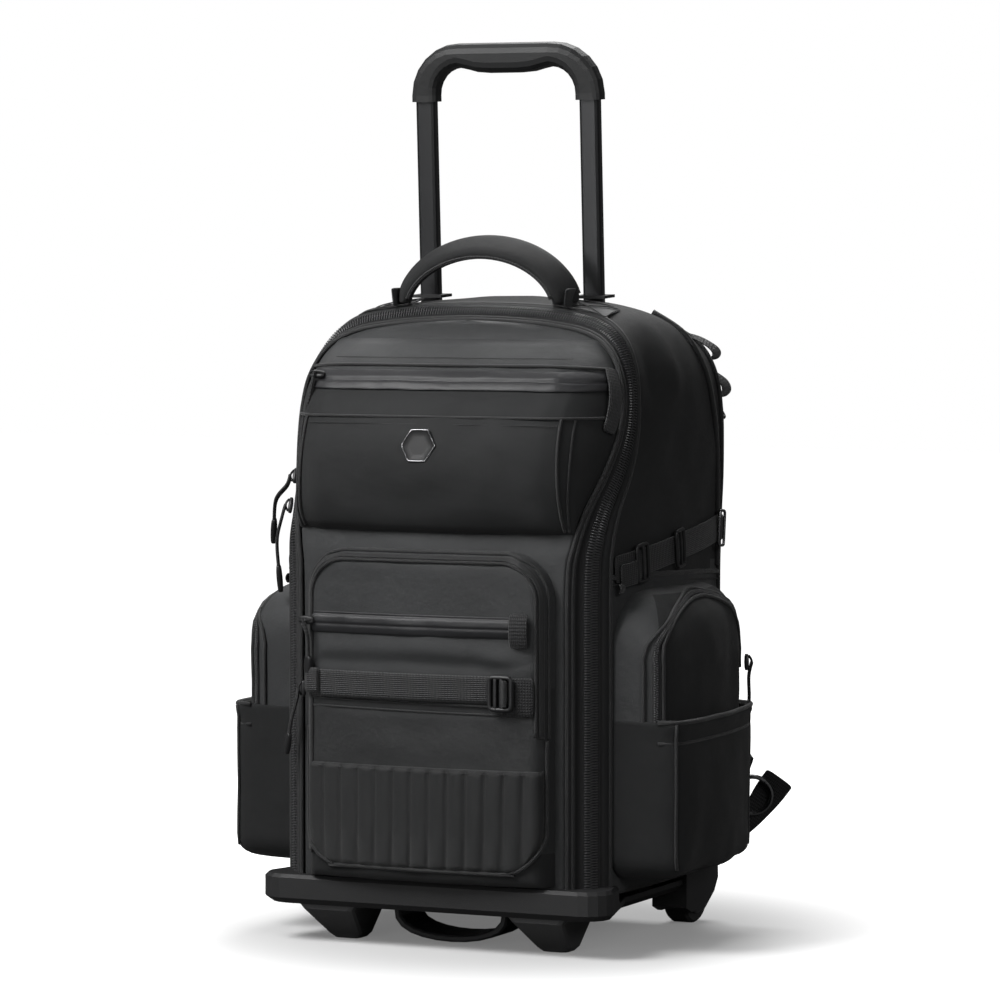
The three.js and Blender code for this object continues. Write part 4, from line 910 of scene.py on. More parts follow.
@dataclass
class MainBody:
    """The soft sleeve between zip and back pad, with its side panels, its seams and the padded back."""

    lines: int = 22
    row_step: float = 0.25
    side_seam: float = 0.315
    piping: float = 0.0021
    # folds of the side and top, as places in the datum frame
    folds: tuple[Fold, ...] = (
        Fold(((0.104, 0.125, 0.533), (0.138, 0.135, 0.51), (0.152, 0.14, 0.482), (0.158, 0.142, 0.452)),
             0.013, 0.0045),
        Fold(((0.128, 0.105, 0.52), (0.148, 0.108, 0.488), (0.154, 0.104, 0.455)), 0.009, -0.0035),
        Fold(((0.15, 0.175, 0.47), (0.16, 0.15, 0.43), (0.162, 0.135, 0.385)), 0.018, -0.003),
        Fold(((0.158, 0.225, 0.43), (0.162, 0.2, 0.395), (0.164, 0.185, 0.35)), 0.015, 0.0025),
        Fold(((0.155, 0.06, 0.3), (0.16, 0.13, 0.303), (0.158, 0.23, 0.305)), 0.012, 0.003, 0.1),
        Fold(((0.02, 0.16, 0.541), (0.085, 0.165, 0.54)), 0.02, -0.0015))

    def relief(self, point: Vector) -> float:
        """Give how far folds and unevenness lift the body's cloth.

        Args:
            point: a point of the skin.

        Returns:
            A lift in metres.
        """
        mirrored = Vector((abs(point.x), point.y, point.z))
        lift = sum(fold.lift(mirrored) for fold in self.folds)
        return lift + ruffle(point, 0.06, 0.0016, 1.0)

    def rows(self) -> list[tuple[int, float]]:
        """List the lines round the body as side and row number, up one side and down the other."""
        steps = int(FORM.crown / self.row_step)
        up = [(1, i * self.row_step) for i in range(steps + 1)]
        return up + [(-1, row) for _, row in reversed(up[:-1])]

    def shell(self) -> bpy.types.Object:
        """Sew the sleeve.

        Returns:
            The sleeve's object.
        """
        piece = Piece("soft_body", (CLOTH, COATED), Slot.CLOTH)
        grid = []
        for side, row in self.rows():
            line = []
            for share in spread(0.0, 1.0, self.lines):
                skin = FORM.body_point(side, row, share)
                quiet = ease(0.0, 0.1, share) * ease(0.0, 0.06, 1.0 - share)
                line.append(FORM.body_point(side, row, share, self.relief(skin) * quiet))
            grid.append(line)
        floor = [[Vector((x * 0.955 * FORM.half, point.y, FORM.bottom)) for point in grid[-1]]
                 for x in (-1.0, -0.5, 0.0, 0.5, 1.0)]
        piece.grid([*grid, *floor, grid[0]])
        piece.paint(1, lambda at: at.z < self.side_seam and abs(at.x) > 0.1)
        body = piece.build(levels=1)
        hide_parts("main_body")
        return body

    def seams(self) -> bpy.types.Object:
        """Lay the piping of the rear corners, the side seams and the pad's edge.

        Returns:
            The piping's object.
        """
        piece = Piece("body_piping", (PIPING, THREAD), Slot.CLOTH)
        for side, _ in SIDES:
            run = [(3.1, 0.985), (4.0, 0.975), (5.0, 0.962), (6.0, 0.935), (7.0, 0.9), (8.0, 0.845),
                   (9.0, 0.775), (10.0, 0.7), (11.0, 0.64)]
            path = smooth_path([FORM.body_point(side, row, share, 0.0008) for row, share in run], 8)
            piece.tube(path, self.piping * 1.35)
            level = [FORM.body_point(side, 3.0, share, 0.0004) for share in spread(0.0, 1.0, 8)]
            path = smooth_path(level, 4)
            piece.tube(path, self.piping * 1.15)
            lower = [point - Vector((0.0, 0.0, 0.0062)) + Vector((side * 0.0006, 0.0, 0.0)) for point in path]
            piece.tube(lower, 0.0007, 1)
        rim = [FORM.body_point(side, row, 1.0, 0.0012) for side, row in self.rows()]
        piece.tube(rim, self.piping)
        return piece.build()

    def pad_point(self, u: float, v: float) -> Vector:
        """Give a point of the back pad's outer face.

        Args:
            u: how far across, from -1 to 1.
            v: how far up its outline, as a row number.

        Returns:
            The point.
        """
        edge = FORM.body_point(1, v, 1.0)
        half = edge.x
        x = u * half
        reach = min((1 - abs(u)) * half, edge.z - FORM.bottom,
                    (FORM.height_at(1.0) - FORM.back_drop) - edge.z)
        crown = min(1.0, max(0.0, reach) / 0.022)
        y = FORM.rear + FORM.back_pad * (1 - (1 - crown) ** 2.4)
        return Vector((x, y - self.channels(x, edge.z) * crown, edge.z))

    def channels(self, x: float, z: float) -> float:
        """Give how deep the pad's sewn channels press it in.

        Args:
            x: how far across.
            z: how high.

        Returns:
            A depth in metres.
        """
        spine = 0.0075 * hump(0.0, 0.014, x)
        columns = 0.0045 * hump(0.088, 0.005, abs(x))
        bars = 0.004 * max(hump(level, 0.005, z) for level in (0.15, 0.225, 0.3, 0.375, 0.45))
        bars *= ease(0.02, 0.032, abs(x)) * ease(0.09, 0.082, abs(x)) if abs(x) < 0.09 else 0.0
        return spine + columns + bars

    def pad(self) -> bpy.types.Object:
        """Sew the padded back with its channels.

        Returns:
            The pad's object.
        """
        piece = Piece("padded_back", (SPACER,), Slot.PADDING)
        grid = [[self.pad_point(u, row) for u in spread(-1.0, 1.0, 60)]
                for row in spread(0.0, FORM.crown - 0.02, 84)]
        rows = grid[0]
        front = [Vector((p.x * 0.98, FORM.rear - 0.001, p.z)) for p in rows]
        piece.grid([front, *grid], flip=True)
        pad = piece.build(levels=1)
        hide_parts("back_pad")
        return pad

    def dress(self) -> list[bpy.types.Object]:
        """Build the body's pieces."""
        return [self.shell(), self.seams(), self.pad()]


@dataclass(frozen=True)
class CoilZip:
    """A coil zip's teeth, laid in two rows that meet along a path."""

    width: float
    pitch: float
    rise: float

    def lay(self, piece: Piece, path: Sequence[Vector], normals: Sequence[Vector], finish: int = 0) -> None:
        """Lay the teeth along a path.

        Args:
            piece: the piece that they are added to.
            path: the middle line between the two rows.
            normals: the direction that the zip faces at each point.
            finish: which of the piece's finishes they have.
        """
        spot, number = 0.0, 0
        for i in range(len(path) - 1):
            run = path[i + 1] - path[i]
            along, length = run.normalized(), run.length
            across = along.cross(normals[i]).normalized()
            while spot <= length:
                at = path[i].lerp(path[i + 1], spot / length)
                normal = normals[i].lerp(normals[i + 1], spot / length).normalized()
                side = 1 if number % 2 else -1
                self._tooth(piece, at, along, across * side, normal, finish)
                spot += self.pitch / 2
                number += 1
            spot -= length

    def _tooth(self, piece: Piece, at: Vector, along: Vector, out: Vector, up: Vector, finish: int) -> None:
        """Add one tooth, a rounded bar from the middle line outwards.

        Args:
            piece: the piece that it is added to.
            at: its place on the middle line.
            along: the zip's direction.
            out: the direction that the tooth points away to.
            up: the direction that the zip faces.
            finish: which of the piece's finishes it has.
        """
        base = len(piece.points)
        half = self.pitch * 0.34
        for reach, lift, thin in ((-0.07, 0.62, 0.7), (0.12, 1.0, 1.0), (0.4, 0.92, 1.0), (0.5, 0.3, 0.8)):
            middle = at + out * (self.width * reach)
            top = up * (self.rise * lift)
            piece.points.extend((middle - along * half * thin, middle - along * half * 0.5 * thin + top,
                                 middle + along * half * 0.5 * thin + top, middle + along * half * thin))
        flat = ((0.0, 0.0), (0.001, 0.0), (0.001, 0.001), (0.0, 0.001))
        for r in range(3):
            for c in range(3):
                a = base + r * 4 + c
                piece.face((a, a + 1, a + 5, a + 4), flat, finish)
        piece.face((base + 3, base + 2, base + 1, base), flat, finish)
        piece.face((base + 12, base + 13, base + 14, base + 15), flat, finish)


@dataclass(frozen=True)
class ZipPull:
    """A slider with its tab and a cord pull that hangs from it."""

    slider: float = 0.014
    cord: float = 0.0016

    def hang(self, piece: Piece, at: Vector, along: Vector, normal: Vector,
             drop: Sequence[Sequence[float]], tab: float = 0.02) -> None:
        """Add a slider and hang its pull.

        Args:
            piece: the piece that it is added to; its finishes are plastic, then cord.
            at: the slider's place on the zip.
            along: the zip's direction.
            normal: the direction that the zip faces.
            drop: the cord's points down to its moulded tab, measured from the slider.
            tab: the length of the moulded tab at the cord's end.
        """
        along = along.normalized()
        body = [at - along * self.slider * 0.5, at - along * self.slider * 0.32, at,
                at + along * self.slider * 0.34, at + along * self.slider * 0.5]
        lifted = [p + normal * 0.0028 for p in body]
        piece.ribbon(lifted, 0.0088, 0.0042, normal, 0,
                     swell=lambda share: 0.62 + 0.4 * math.sin(math.pi * share))
        bridge = [at + along * k * self.slider + normal
                  * (0.0045 + 0.0028 * math.sin(math.pi * (k + 0.42) / 0.84))
                  for k in spread(-0.42, 0.42, 6)]
        piece.tube(bridge, 0.0011, 0)
        path = smooth_path([bridge[3], *[at + Vector(step) for step in drop]], 6)
        side = along.cross(normal).normalized() * self.cord * 0.95
        for offset in (side, -side):
            piece.tube([p + offset for p in path], self.cord, 1, 7)
        end, before = path[-1], path[-4]
        run = (end - before).normalized()
        pad = [end + run * (tab * share) for share in (-0.12, 0.05, 0.3, 0.6, 0.9, 1.0)]
        piece.ribbon(pad, 0.0092, 0.005, normal, 0,
                     swell=lambda share: 0.55 + 0.5 * math.sin(math.pi * (0.12 + 0.76 * share)))


@dataclass
class Door:
    """The clamshell door inside the main zip."""

    thick: float = 0.003

    def panel(self) -> bpy.types.Object:
        """Sew the door's crowned face.

        Returns:
            The door's object.
        """
        piece = Piece("door_face", (COATED,), Slot.COATED)
        grid = []
        for row in spread(0.0, FORM.crown - 0.12, 76):
            edge = FORM.door_edge(1, row)
            line = []
            for u in spread(-1.0, 1.0, 40):
                x = u * (edge.x - 0.0015)
                y = edge.y - FORM.door_crown * (1 - u * u)
                lift = ruffle(Vector((x, y, edge.z)), 0.05, 0.0012, 2.0) * ease(0.0, 0.15, 1 - abs(u))
                line.append(Vector((x, y - lift, edge.z)))
            grid.append(line)
        piece.grid(grid)
        door = piece.build(levels=1, thick=self.thick)
        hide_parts("door_panel")
        return door

    def dress(self) -> list[bpy.types.Object]:
        """Build the door's pieces."""
        return [self.panel()]


@dataclass
class MainZip:
    """The gusset round the door with its tapes, pipings, coil teeth and two sliders."""

    row_step: float = 0.1
    inner_piping: float = 0.0019
    outer_piping: float = 0.0021
    teeth_from: float = 0.34
    teeth_to: float = 0.74
    coil: CoilZip = CoilZip(width=0.0125, pitch=0.0023, rise=0.0024)
    # share across the gusset from the door to the body, and lift off it in metres
    profile: tuple[tuple[float, float], ...] = (
        (0.0, 0.0), (0.06, 0.0004), (0.115, 0.0006), (0.135, -0.0022), (0.2, -0.0034), (0.29, -0.0026),
        (0.31, -0.0004), (0.54, 0.0), (0.75, -0.0002), (0.77, -0.0016), (0.8, 0.0006), (0.88, 0.001),
        (0.95, 0.0004), (1.0, -0.0008))

    def rows(self) -> list[tuple[int, float]]:
        """List the lines across the gusset, up the right side and down the left."""
        steps = int(round(FORM.crown / self.row_step))
        up = [(1, i * self.row_step) for i in range(steps + 1)]
        return up + [(-1, row) for _, row in reversed(up[:-1])]

    def outward(self, side: int, row: float) -> Vector:
        """Give the direction that the gusset faces at a row.

        Args:
            side: -1 or 1.
            row: the row number.

        Returns:
            A unit vector.
        """
        middle = 0.5 * (FORM.door_edge(1, row) + FORM.body_edge(1, row))
        before = 0.5 * (FORM.door_edge(1, max(row - 0.1, 0)) + FORM.body_edge(1, max(row - 0.1, 0)))
        after = 0.5 * (FORM.door_edge(1, min(row + 0.1, FORM.crown))
                       + FORM.body_edge(1, min(row + 0.1, FORM.crown)))
        run = after - before
        if row > FORM.crown - 0.1:
            run = Vector((-1.0, 0.0, 0.06))
        across = FORM.body_edge(1, row) - FORM.door_edge(1, row)
        normal = across.cross(run).normalized()
        if normal.y > 0 and middle.x > 0.05:
            normal = -normal
        return Vector((side * normal.x, normal.y, normal.z))

    def point(self, side: int, row: float, share: float, lift: float = 0.0) -> Vector:
        """Give a point of the gusset, at a share from the door's edge to the body's."""
        base = FORM.door_edge(side, row).lerp(FORM.body_edge(side, row), share)
        return base + self.outward(side, row) * (lift + 0.0012 * math.sin(math.pi * share))

    def line(self, share: float, lift: float) -> list[Vector]:
        """Give a line that runs the whole way round the gusset."""
        return [self.point(side, row, share, lift) for side, row in self.rows()]

    def gusset(self) -> bpy.types.Object:
        """Sew the gusset's cloth with its recess and tapes.

        Returns:
            The gusset's object.
        """
        piece = Piece("zip_gusset_cloth", (CLOTH, TAPE), Slot.CLOTH)
        grid = [[self.point(side, row, share, lift) for share, lift in self.profile]
                for side, row in self.rows()]
        piece.grid(grid, flip=True)
        across = len(self.profile) - 1
        for number in range(len(piece.faces)):
            column = number % across
            if 3 <= column <= 8:
                piece.finish_of[number] = 1
        gusset = piece.build(levels=1, thick=0.0012)
        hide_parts("zip_gusset")
        return gusset

    def pipings(self) -> bpy.types.Object:
        """Lay the corded edges on both sides of the gusset.

        Returns:
            The pipings' object.
        """
        piece = Piece("zip_piping", (PIPING, THREAD), Slot.CLOTH)
        piece.tube(self.line(-0.01, 0.0006), self.inner_piping)
        piece.tube(self.line(0.105, 0.001), self.inner_piping * 0.75)
        piece.tube(self.line(1.01, 0.0002), self.outer_piping)
        piece.tube(self.line(0.9, 0.0012), 0.0006, 1, 6)
        return piece.build()

    def teeth(self) -> bpy.types.Object:
        """Lay the coil teeth.

        Returns:
            The teeth's object.
        """
        piece = Piece("zip_coil_teeth", (COIL,), Slot.PLASTIC)
        middle = 0.5 * (self.teeth_from + self.teeth_to)
        normals = [self.outward(side, row) for side, row in self.rows()]
        self.coil.lay(piece, self.line(middle, 0.0001), normals)
        return piece.build(smooth=False, weld=1e-7)

    def pulls(self) -> bpy.types.Object:
        """Hang the two sliders' pulls where the zip meets them on the left.

        Returns:
            The pulls' object.
        """
        piece = Piece("main_zip_pulls", (HARD_CLIP, WEBBING), Slot.PLASTIC)
        pull = ZipPull()
        middle = 0.5 * (self.teeth_from + self.teeth_to)
        for row, reach in ((5.8, (-0.028, 0.008, -0.04)), (4.9, (-0.017, 0.004, -0.054))):
            at = self.point(-1, row, middle, 0.0024)
            along = self.point(-1, row + 0.1, middle) - self.point(-1, row - 0.1, middle)
            normal = self.outward(-1, row)
            end = Vector(reach)
            drop = (Vector((-0.008, -0.006, -0.008)), end * 0.62 + Vector((-0.004, -0.006, 0.004)), end)
            pull.hang(piece, at, along, normal, drop, 0.022)
        return piece.build(levels=1)

    def dress(self) -> list[bpy.types.Object]:
        """Build the zip's pieces."""
        return [self.gusset(), self.pipings(), self.teeth(), self.pulls()]


class SewnPanel:
    """A curved panel of cloth that trims are sewn onto. A place on it is a pair of across and height."""

    def place(self, across: float, z: float) -> Vector:
        """Give the panel's point at a place."""
        raise NotImplementedError

    def facing(self, across: float, z: float) -> Vector:
        """Give the direction that the panel faces at a place.

        Args:
            across: the share across the panel.
            z: the height above the floor.

        Returns:
            A unit vector.
        """
        step, rise = 0.004, 0.0006
        run = self.place(across + step, z) - self.place(across - step, z)
        up = self.place(across, z + rise) - self.place(across, z - rise)
        return run.cross(up).normalized()

    def on(self, across: float, z: float, lift: float = 0.0) -> Vector:
        """Give a point that stands off the panel."""
        return self.place(across, z) + self.facing(across, z) * lift

    def run(self, places: Sequence[tuple[float, float]], lift: float = 0.0,
            steps: int = 6) -> tuple[list[Vector], list[Vector]]:
        """Draw a smooth line over the panel and give its points and facings."""
        flat = smooth_path([(a, 0.0, z) for a, z in places], steps)
        return [self.on(p.x, p.z, lift) for p in flat], [self.facing(p.x, p.z) for p in flat]

    def relief(self, across: float, z: float) -> float:
        """Give how far the cloth is lifted at a place. A plain panel has no folds."""
        return 0.0

    def laid(self, places: Sequence[tuple[float, float]], lift: float) -> list[Vector]:
        """Give points that stand off the panel's folds by a lift, at pairs of across and height."""
        return [self.on(a, z, self.relief(a, z) + lift) for a, z in places]

    def facings(self, places: Sequence[tuple[float, float]]) -> list[Vector]:
        """Give the directions that the panel faces at pairs of across and height."""
        return [self.facing(a, z) for a, z in places]

    def patch(self, piece: Piece, acrosses: Sequence[float], heights: Sequence[float],
              lift: Callable[[float, float], float]) -> None:
        """Lay a sheet of cloth over part of the panel, as far off it as lift says."""
        piece.grid([[self.on(a, z, lift(a, z)) for a in acrosses] for z in heights])

    def stitches(self, piece: Piece, places: Sequence[tuple[float, float]], finish: int = 0,
                 length: float = 0.0022, lift: float = 0.0006) -> None:
        """Sew a line of single stitches over the panel.

        Args:
            piece: the piece that they are added to.
            places: pairs of across and height that the line passes through.
            finish: which of the piece's finishes they have.
            length: the length of a stitch.
            lift: how far off the panel they stand.
        """
        path, normals = self.run(places, lift, 10)
        spot = 0.0
        for i in range(len(path) - 1):
            run = path[i + 1] - path[i]
            while spot < run.length:
                at = path[i] + run.normalized() * spot
                piece.ribbon([at, at + run.normalized() * length * 0.7], 0.0007, 0.0005, normals[i], finish)
                spot += length
            spot -= run.length


@dataclass
class UpperPouch(SewnPanel):
    """The deep pouch above, with its coated zip strip, its corner seams and its bare plate."""

    zip_low: float = 0.4695
    zip_high: float = 0.486
    band_low: float = 0.448
    corner: float = 0.006
    plate_at: tuple[float, float] = (-0.002, 0.424)
    plate_radius: float = 0.016
    folds: tuple[Fold, ...] = (
        Fold(((-0.06, -0.016, 0.43), (0.02, -0.018, 0.405), (0.09, -0.014, 0.412)), 0.022, 0.002),
        Fold(((-0.1, -0.01, 0.395), (-0.03, -0.018, 0.38), (0.06, -0.018, 0.388)), 0.014, -0.0016),
        Fold(((0.05, -0.018, 0.44), (0.085, -0.016, 0.415), (0.104, -0.012, 0.375)), 0.01, 0.0022),
        Fold(((-0.11, -0.012, 0.44), (-0.098, -0.014, 0.41), (-0.085, -0.016, 0.37)), 0.012, 0.002),
        Fold(((-0.11, 0.02, 0.448), (0.0, 0.008, 0.448), (0.112, 0.02, 0.448)), 0.004, -0.0012, 0.0))

    @property
    def low(self) -> float:
        """Give the pouch's lowest height."""
        return FORM.height_at(FORM.pouch_rows[0][0])

    @property
    def high(self) -> float:
        """Give the pouch's highest height."""
        return FORM.height_at(FORM.pouch_rows[-1][0])

    def place(self, across: float, z: float) -> Vector:
        """Give the pouch's point, on its front up to 1 across and on its flank from 1 to 1.5."""
        half = read_table([(row[0], row[1]) for row in FORM.pouch_rows], FORM.rise_at(z))[0] * FORM.half
        side = 1 if across > 0 else -1
        u = min(abs(across), 1.0)
        round_off = self.corner * ease(0.86, 1.0, u) * 0.7
        front = Vector((side * u * half, FORM.pouch_face(u * half, z) + round_off, z))
        if abs(across) <= 1.0:
            return front
        seam = read_table([(row[0], row[1]) for row in FORM.zip_rows], FORM.rise_at(z))[0] * FORM.half - 0.003
        root = Vector((side * seam, FORM.door_face(seam, z) - 0.0004, z))
        share = (abs(across) - 1.0) / 0.5
        belly = Vector((side * 0.004 * math.sin(math.pi * min(share, 1.0)), 0.0, 0.0))
        return front.lerp(root, share) + belly

    def relief(self, across: float, z: float) -> float:
        """Give how far fullness and folds lift the pouch's cloth.

        Args:
            across: the share across.
            z: the height.

        Returns:
            A lift in metres.
        """
        point = self.place(across, z)
        full = 0.0035 * math.cos(0.5 * math.pi * min(abs(across), 1.0)) * hump(0.4, 0.05, z)
        quiet = ease(1.5, 1.35, abs(across)) if abs(across) > 1.35 else 1.0
        return (full + sum(fold.lift(point) for fold in self.folds)
                + ruffle(point, 0.045, 0.0013, 3.0)) * quiet

    def shell(self) -> bpy.types.Object:
        """Sew the pouch.

        Returns:
            The pouch's object.
        """
        piece = Piece("upper_pouch_cloth", (POUCH_CLOTH, COATED), Slot.CLOTH)
        acrosses = [-1.5, -1.42, -1.3, -1.18, -1.08, -1.02, *spread(-0.985, 0.985, 44), 1.02, 1.08, 1.18, 1.3,
                    1.42, 1.5]
        heights = [self.low, self.low + 0.002, *spread(self.low + 0.006, self.high - 0.002, 56), self.high]
        rows = []
        for z in heights:
            rows.append([self.on(a, z, self.relief(a, z)) for a in acrosses])
        under = [Vector((p.x * 0.99, FORM.door_face(p.x, self.low) - 0.0004, self.low + 0.0015))
                 for p in rows[0]]
        over = [Vector((p.x, FORM.door_face(p.x, self.high + 0.004) - 0.0004, self.high + 0.004))
                for p in rows[-1]]
        piece.grid([under, *rows, over])
        piece.paint(1, lambda at: at.z > self.zip_high)
        pouch = piece.build(levels=1)
        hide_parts("upper_pouch")
        return pouch

    def seams(self) -> bpy.types.Object:
        """Lay the corner seams, the top seam and the seam under the zip band.

        Returns:
            The seams' object.
        """
        piece = Piece("upper_pouch_seams", (PIPING, THREAD), Slot.CLOTH)
        around = (-1.35, -1.1, -1.0, -0.8, -0.4, 0.0, 0.4, 0.8, 1.0, 1.1, 1.35)
        for z, radius, dip in ((self.zip_high + 0.004, 0.0015, 0.004), (self.band_low, 0.0013, 0.0)):
            path, _ = self.run([(a, z - dip * max(0.0, abs(a) - 0.8)) for a in around], 0.001)
            piece.tube(path, radius)
        for side in (-1, 1):
            for across, radius in ((1.0, 0.0013), (1.1, 0.001)):
                run = [(side * across, z) for z in spread(self.low + 0.004, self.band_low, 8)]
                path = self.laid(run, 0.0006)
                piece.tube(smooth_path(path, 3), radius)
        self.stitches(piece, [(a * 0.97, self.band_low - 0.006) for a in (-1.0, -0.5, 0.0, 0.5, 1.0)], 1,
                      lift=0.0016)
        self.stitches(piece, [(a * 0.97, self.zip_high + 0.01) for a in (-1.0, -0.5, 0.0, 0.5, 1.0)], 1,
                      lift=0.0014)
        return piece.build()

    def zip_strip(self) -> bpy.types.Object:
        """Sew the glossy coated strip over the pouch's zip, open along its middle.

        Returns:
            The strip's object.
        """
        piece = Piece("pouch_zip_cover", (GLOSSY, COIL), Slot.COATED)
        acrosses = [-1.06, -1.02, *spread(-0.99, 1.0, 50), 1.04, 1.12, 1.24, 1.36]
        middle = 0.5 * (self.zip_low + self.zip_high)

        def lift(a: float, z: float) -> float:
            """Raise the strip into two lips with a slit between them."""
            lips = math.sin(math.pi * (z - self.zip_low) / (self.zip_high - self.zip_low))
            slit = 0.0018 * hump(middle - 0.001, 0.0011, z)
            return self.relief(a, z) + 0.0012 + 0.002 * max(0.0, lips) ** 0.6 - slit + ruffle(
                Vector((a, 0.0, z * 6)), 0.16, 0.0007, 4.0)

        self.patch(piece, acrosses, spread(self.zip_low, self.zip_high, 16), lift)
        strip = piece.build(levels=1, thick=0.0008)
        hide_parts("pouch_zip_strip")
        return strip

    def fittings(self) -> bpy.types.Object:
        """Sew the strip's end loops and hang its pull.

        Returns:
            The fittings' object.
        """
        piece = Piece("pouch_zip_fittings", (HARD_CLIP, WEBBING), Slot.WEBBING)
        loop = [self.on(1.4, z, 0.0022 + 0.003 * math.sin(math.pi * (z - 0.436) / 0.052))
                for z in spread(0.436, 0.488, 8)]
        piece.ribbon(loop, 0.015, 0.0018, self.facing(1.38, 0.462), 1)
        at = self.on(-0.985, 0.4775, 0.004)
        ZipPull().hang(piece, at, Vector((1, 0, 0)), self.facing(-0.98, 0.4775),
                       ((-0.004, -0.006, -0.01), (-0.008, -0.006, -0.026), (-0.01, -0.003, -0.038)), 0.018)
        return piece.build(levels=1)

    def plate(self) -> bpy.types.Object:
        """Mould the bare six-sided plate with its raised rim.

        Returns:
            The plate's object.
        """
        piece = Piece("front_plate", (MOULDED, PLATED), Slot.METAL)
        points = 36
        x, z = self.plate_at
        half = read_table([(row[0], row[1]) for row in FORM.pouch_rows], FORM.rise_at(z))[0] * FORM.half
        normal = self.facing(x / half, z)
        centre = self.on(x / half, z, self.relief(x / half, z))
        right = Vector((1.0, 0.0, 0.0))
        up = normal.cross(right).normalized()
        if up.z < 0:
            up = -up
        rings = []
        for share, lift in ((1.0, -0.001), (1.0, 0.001), (0.97, 0.0018), (0.925, 0.0018), (0.895, 0.001),
                            (0.5, 0.001), (0.02, 0.0011)):
            ring = []
            for i in range(points):
                angle = 2 * math.pi * i / points
                flat = math.cos(math.pi / 6) / math.cos((angle % (math.pi / 3)) - math.pi / 6)
                reach = self.plate_radius * share * (0.9 * flat + 0.1)
                ring.append(centre + right * (reach * math.cos(angle)) + up * (reach * math.sin(angle))
                            + normal * lift)
            rings.append(ring)
        piece.grid(rings, round_across=True)
        piece.cap(rings[-1])
        for number in range(points, points * 3):
            piece.finish_of[number] = 1
        plate = piece.build()
        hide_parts("badge")
        return plate

    def dress(self) -> list[bpy.types.Object]:
        """Build the pouch's pieces."""
        return [self.shell(), self.seams(), self.zip_strip(), self.fittings(), self.plate()]


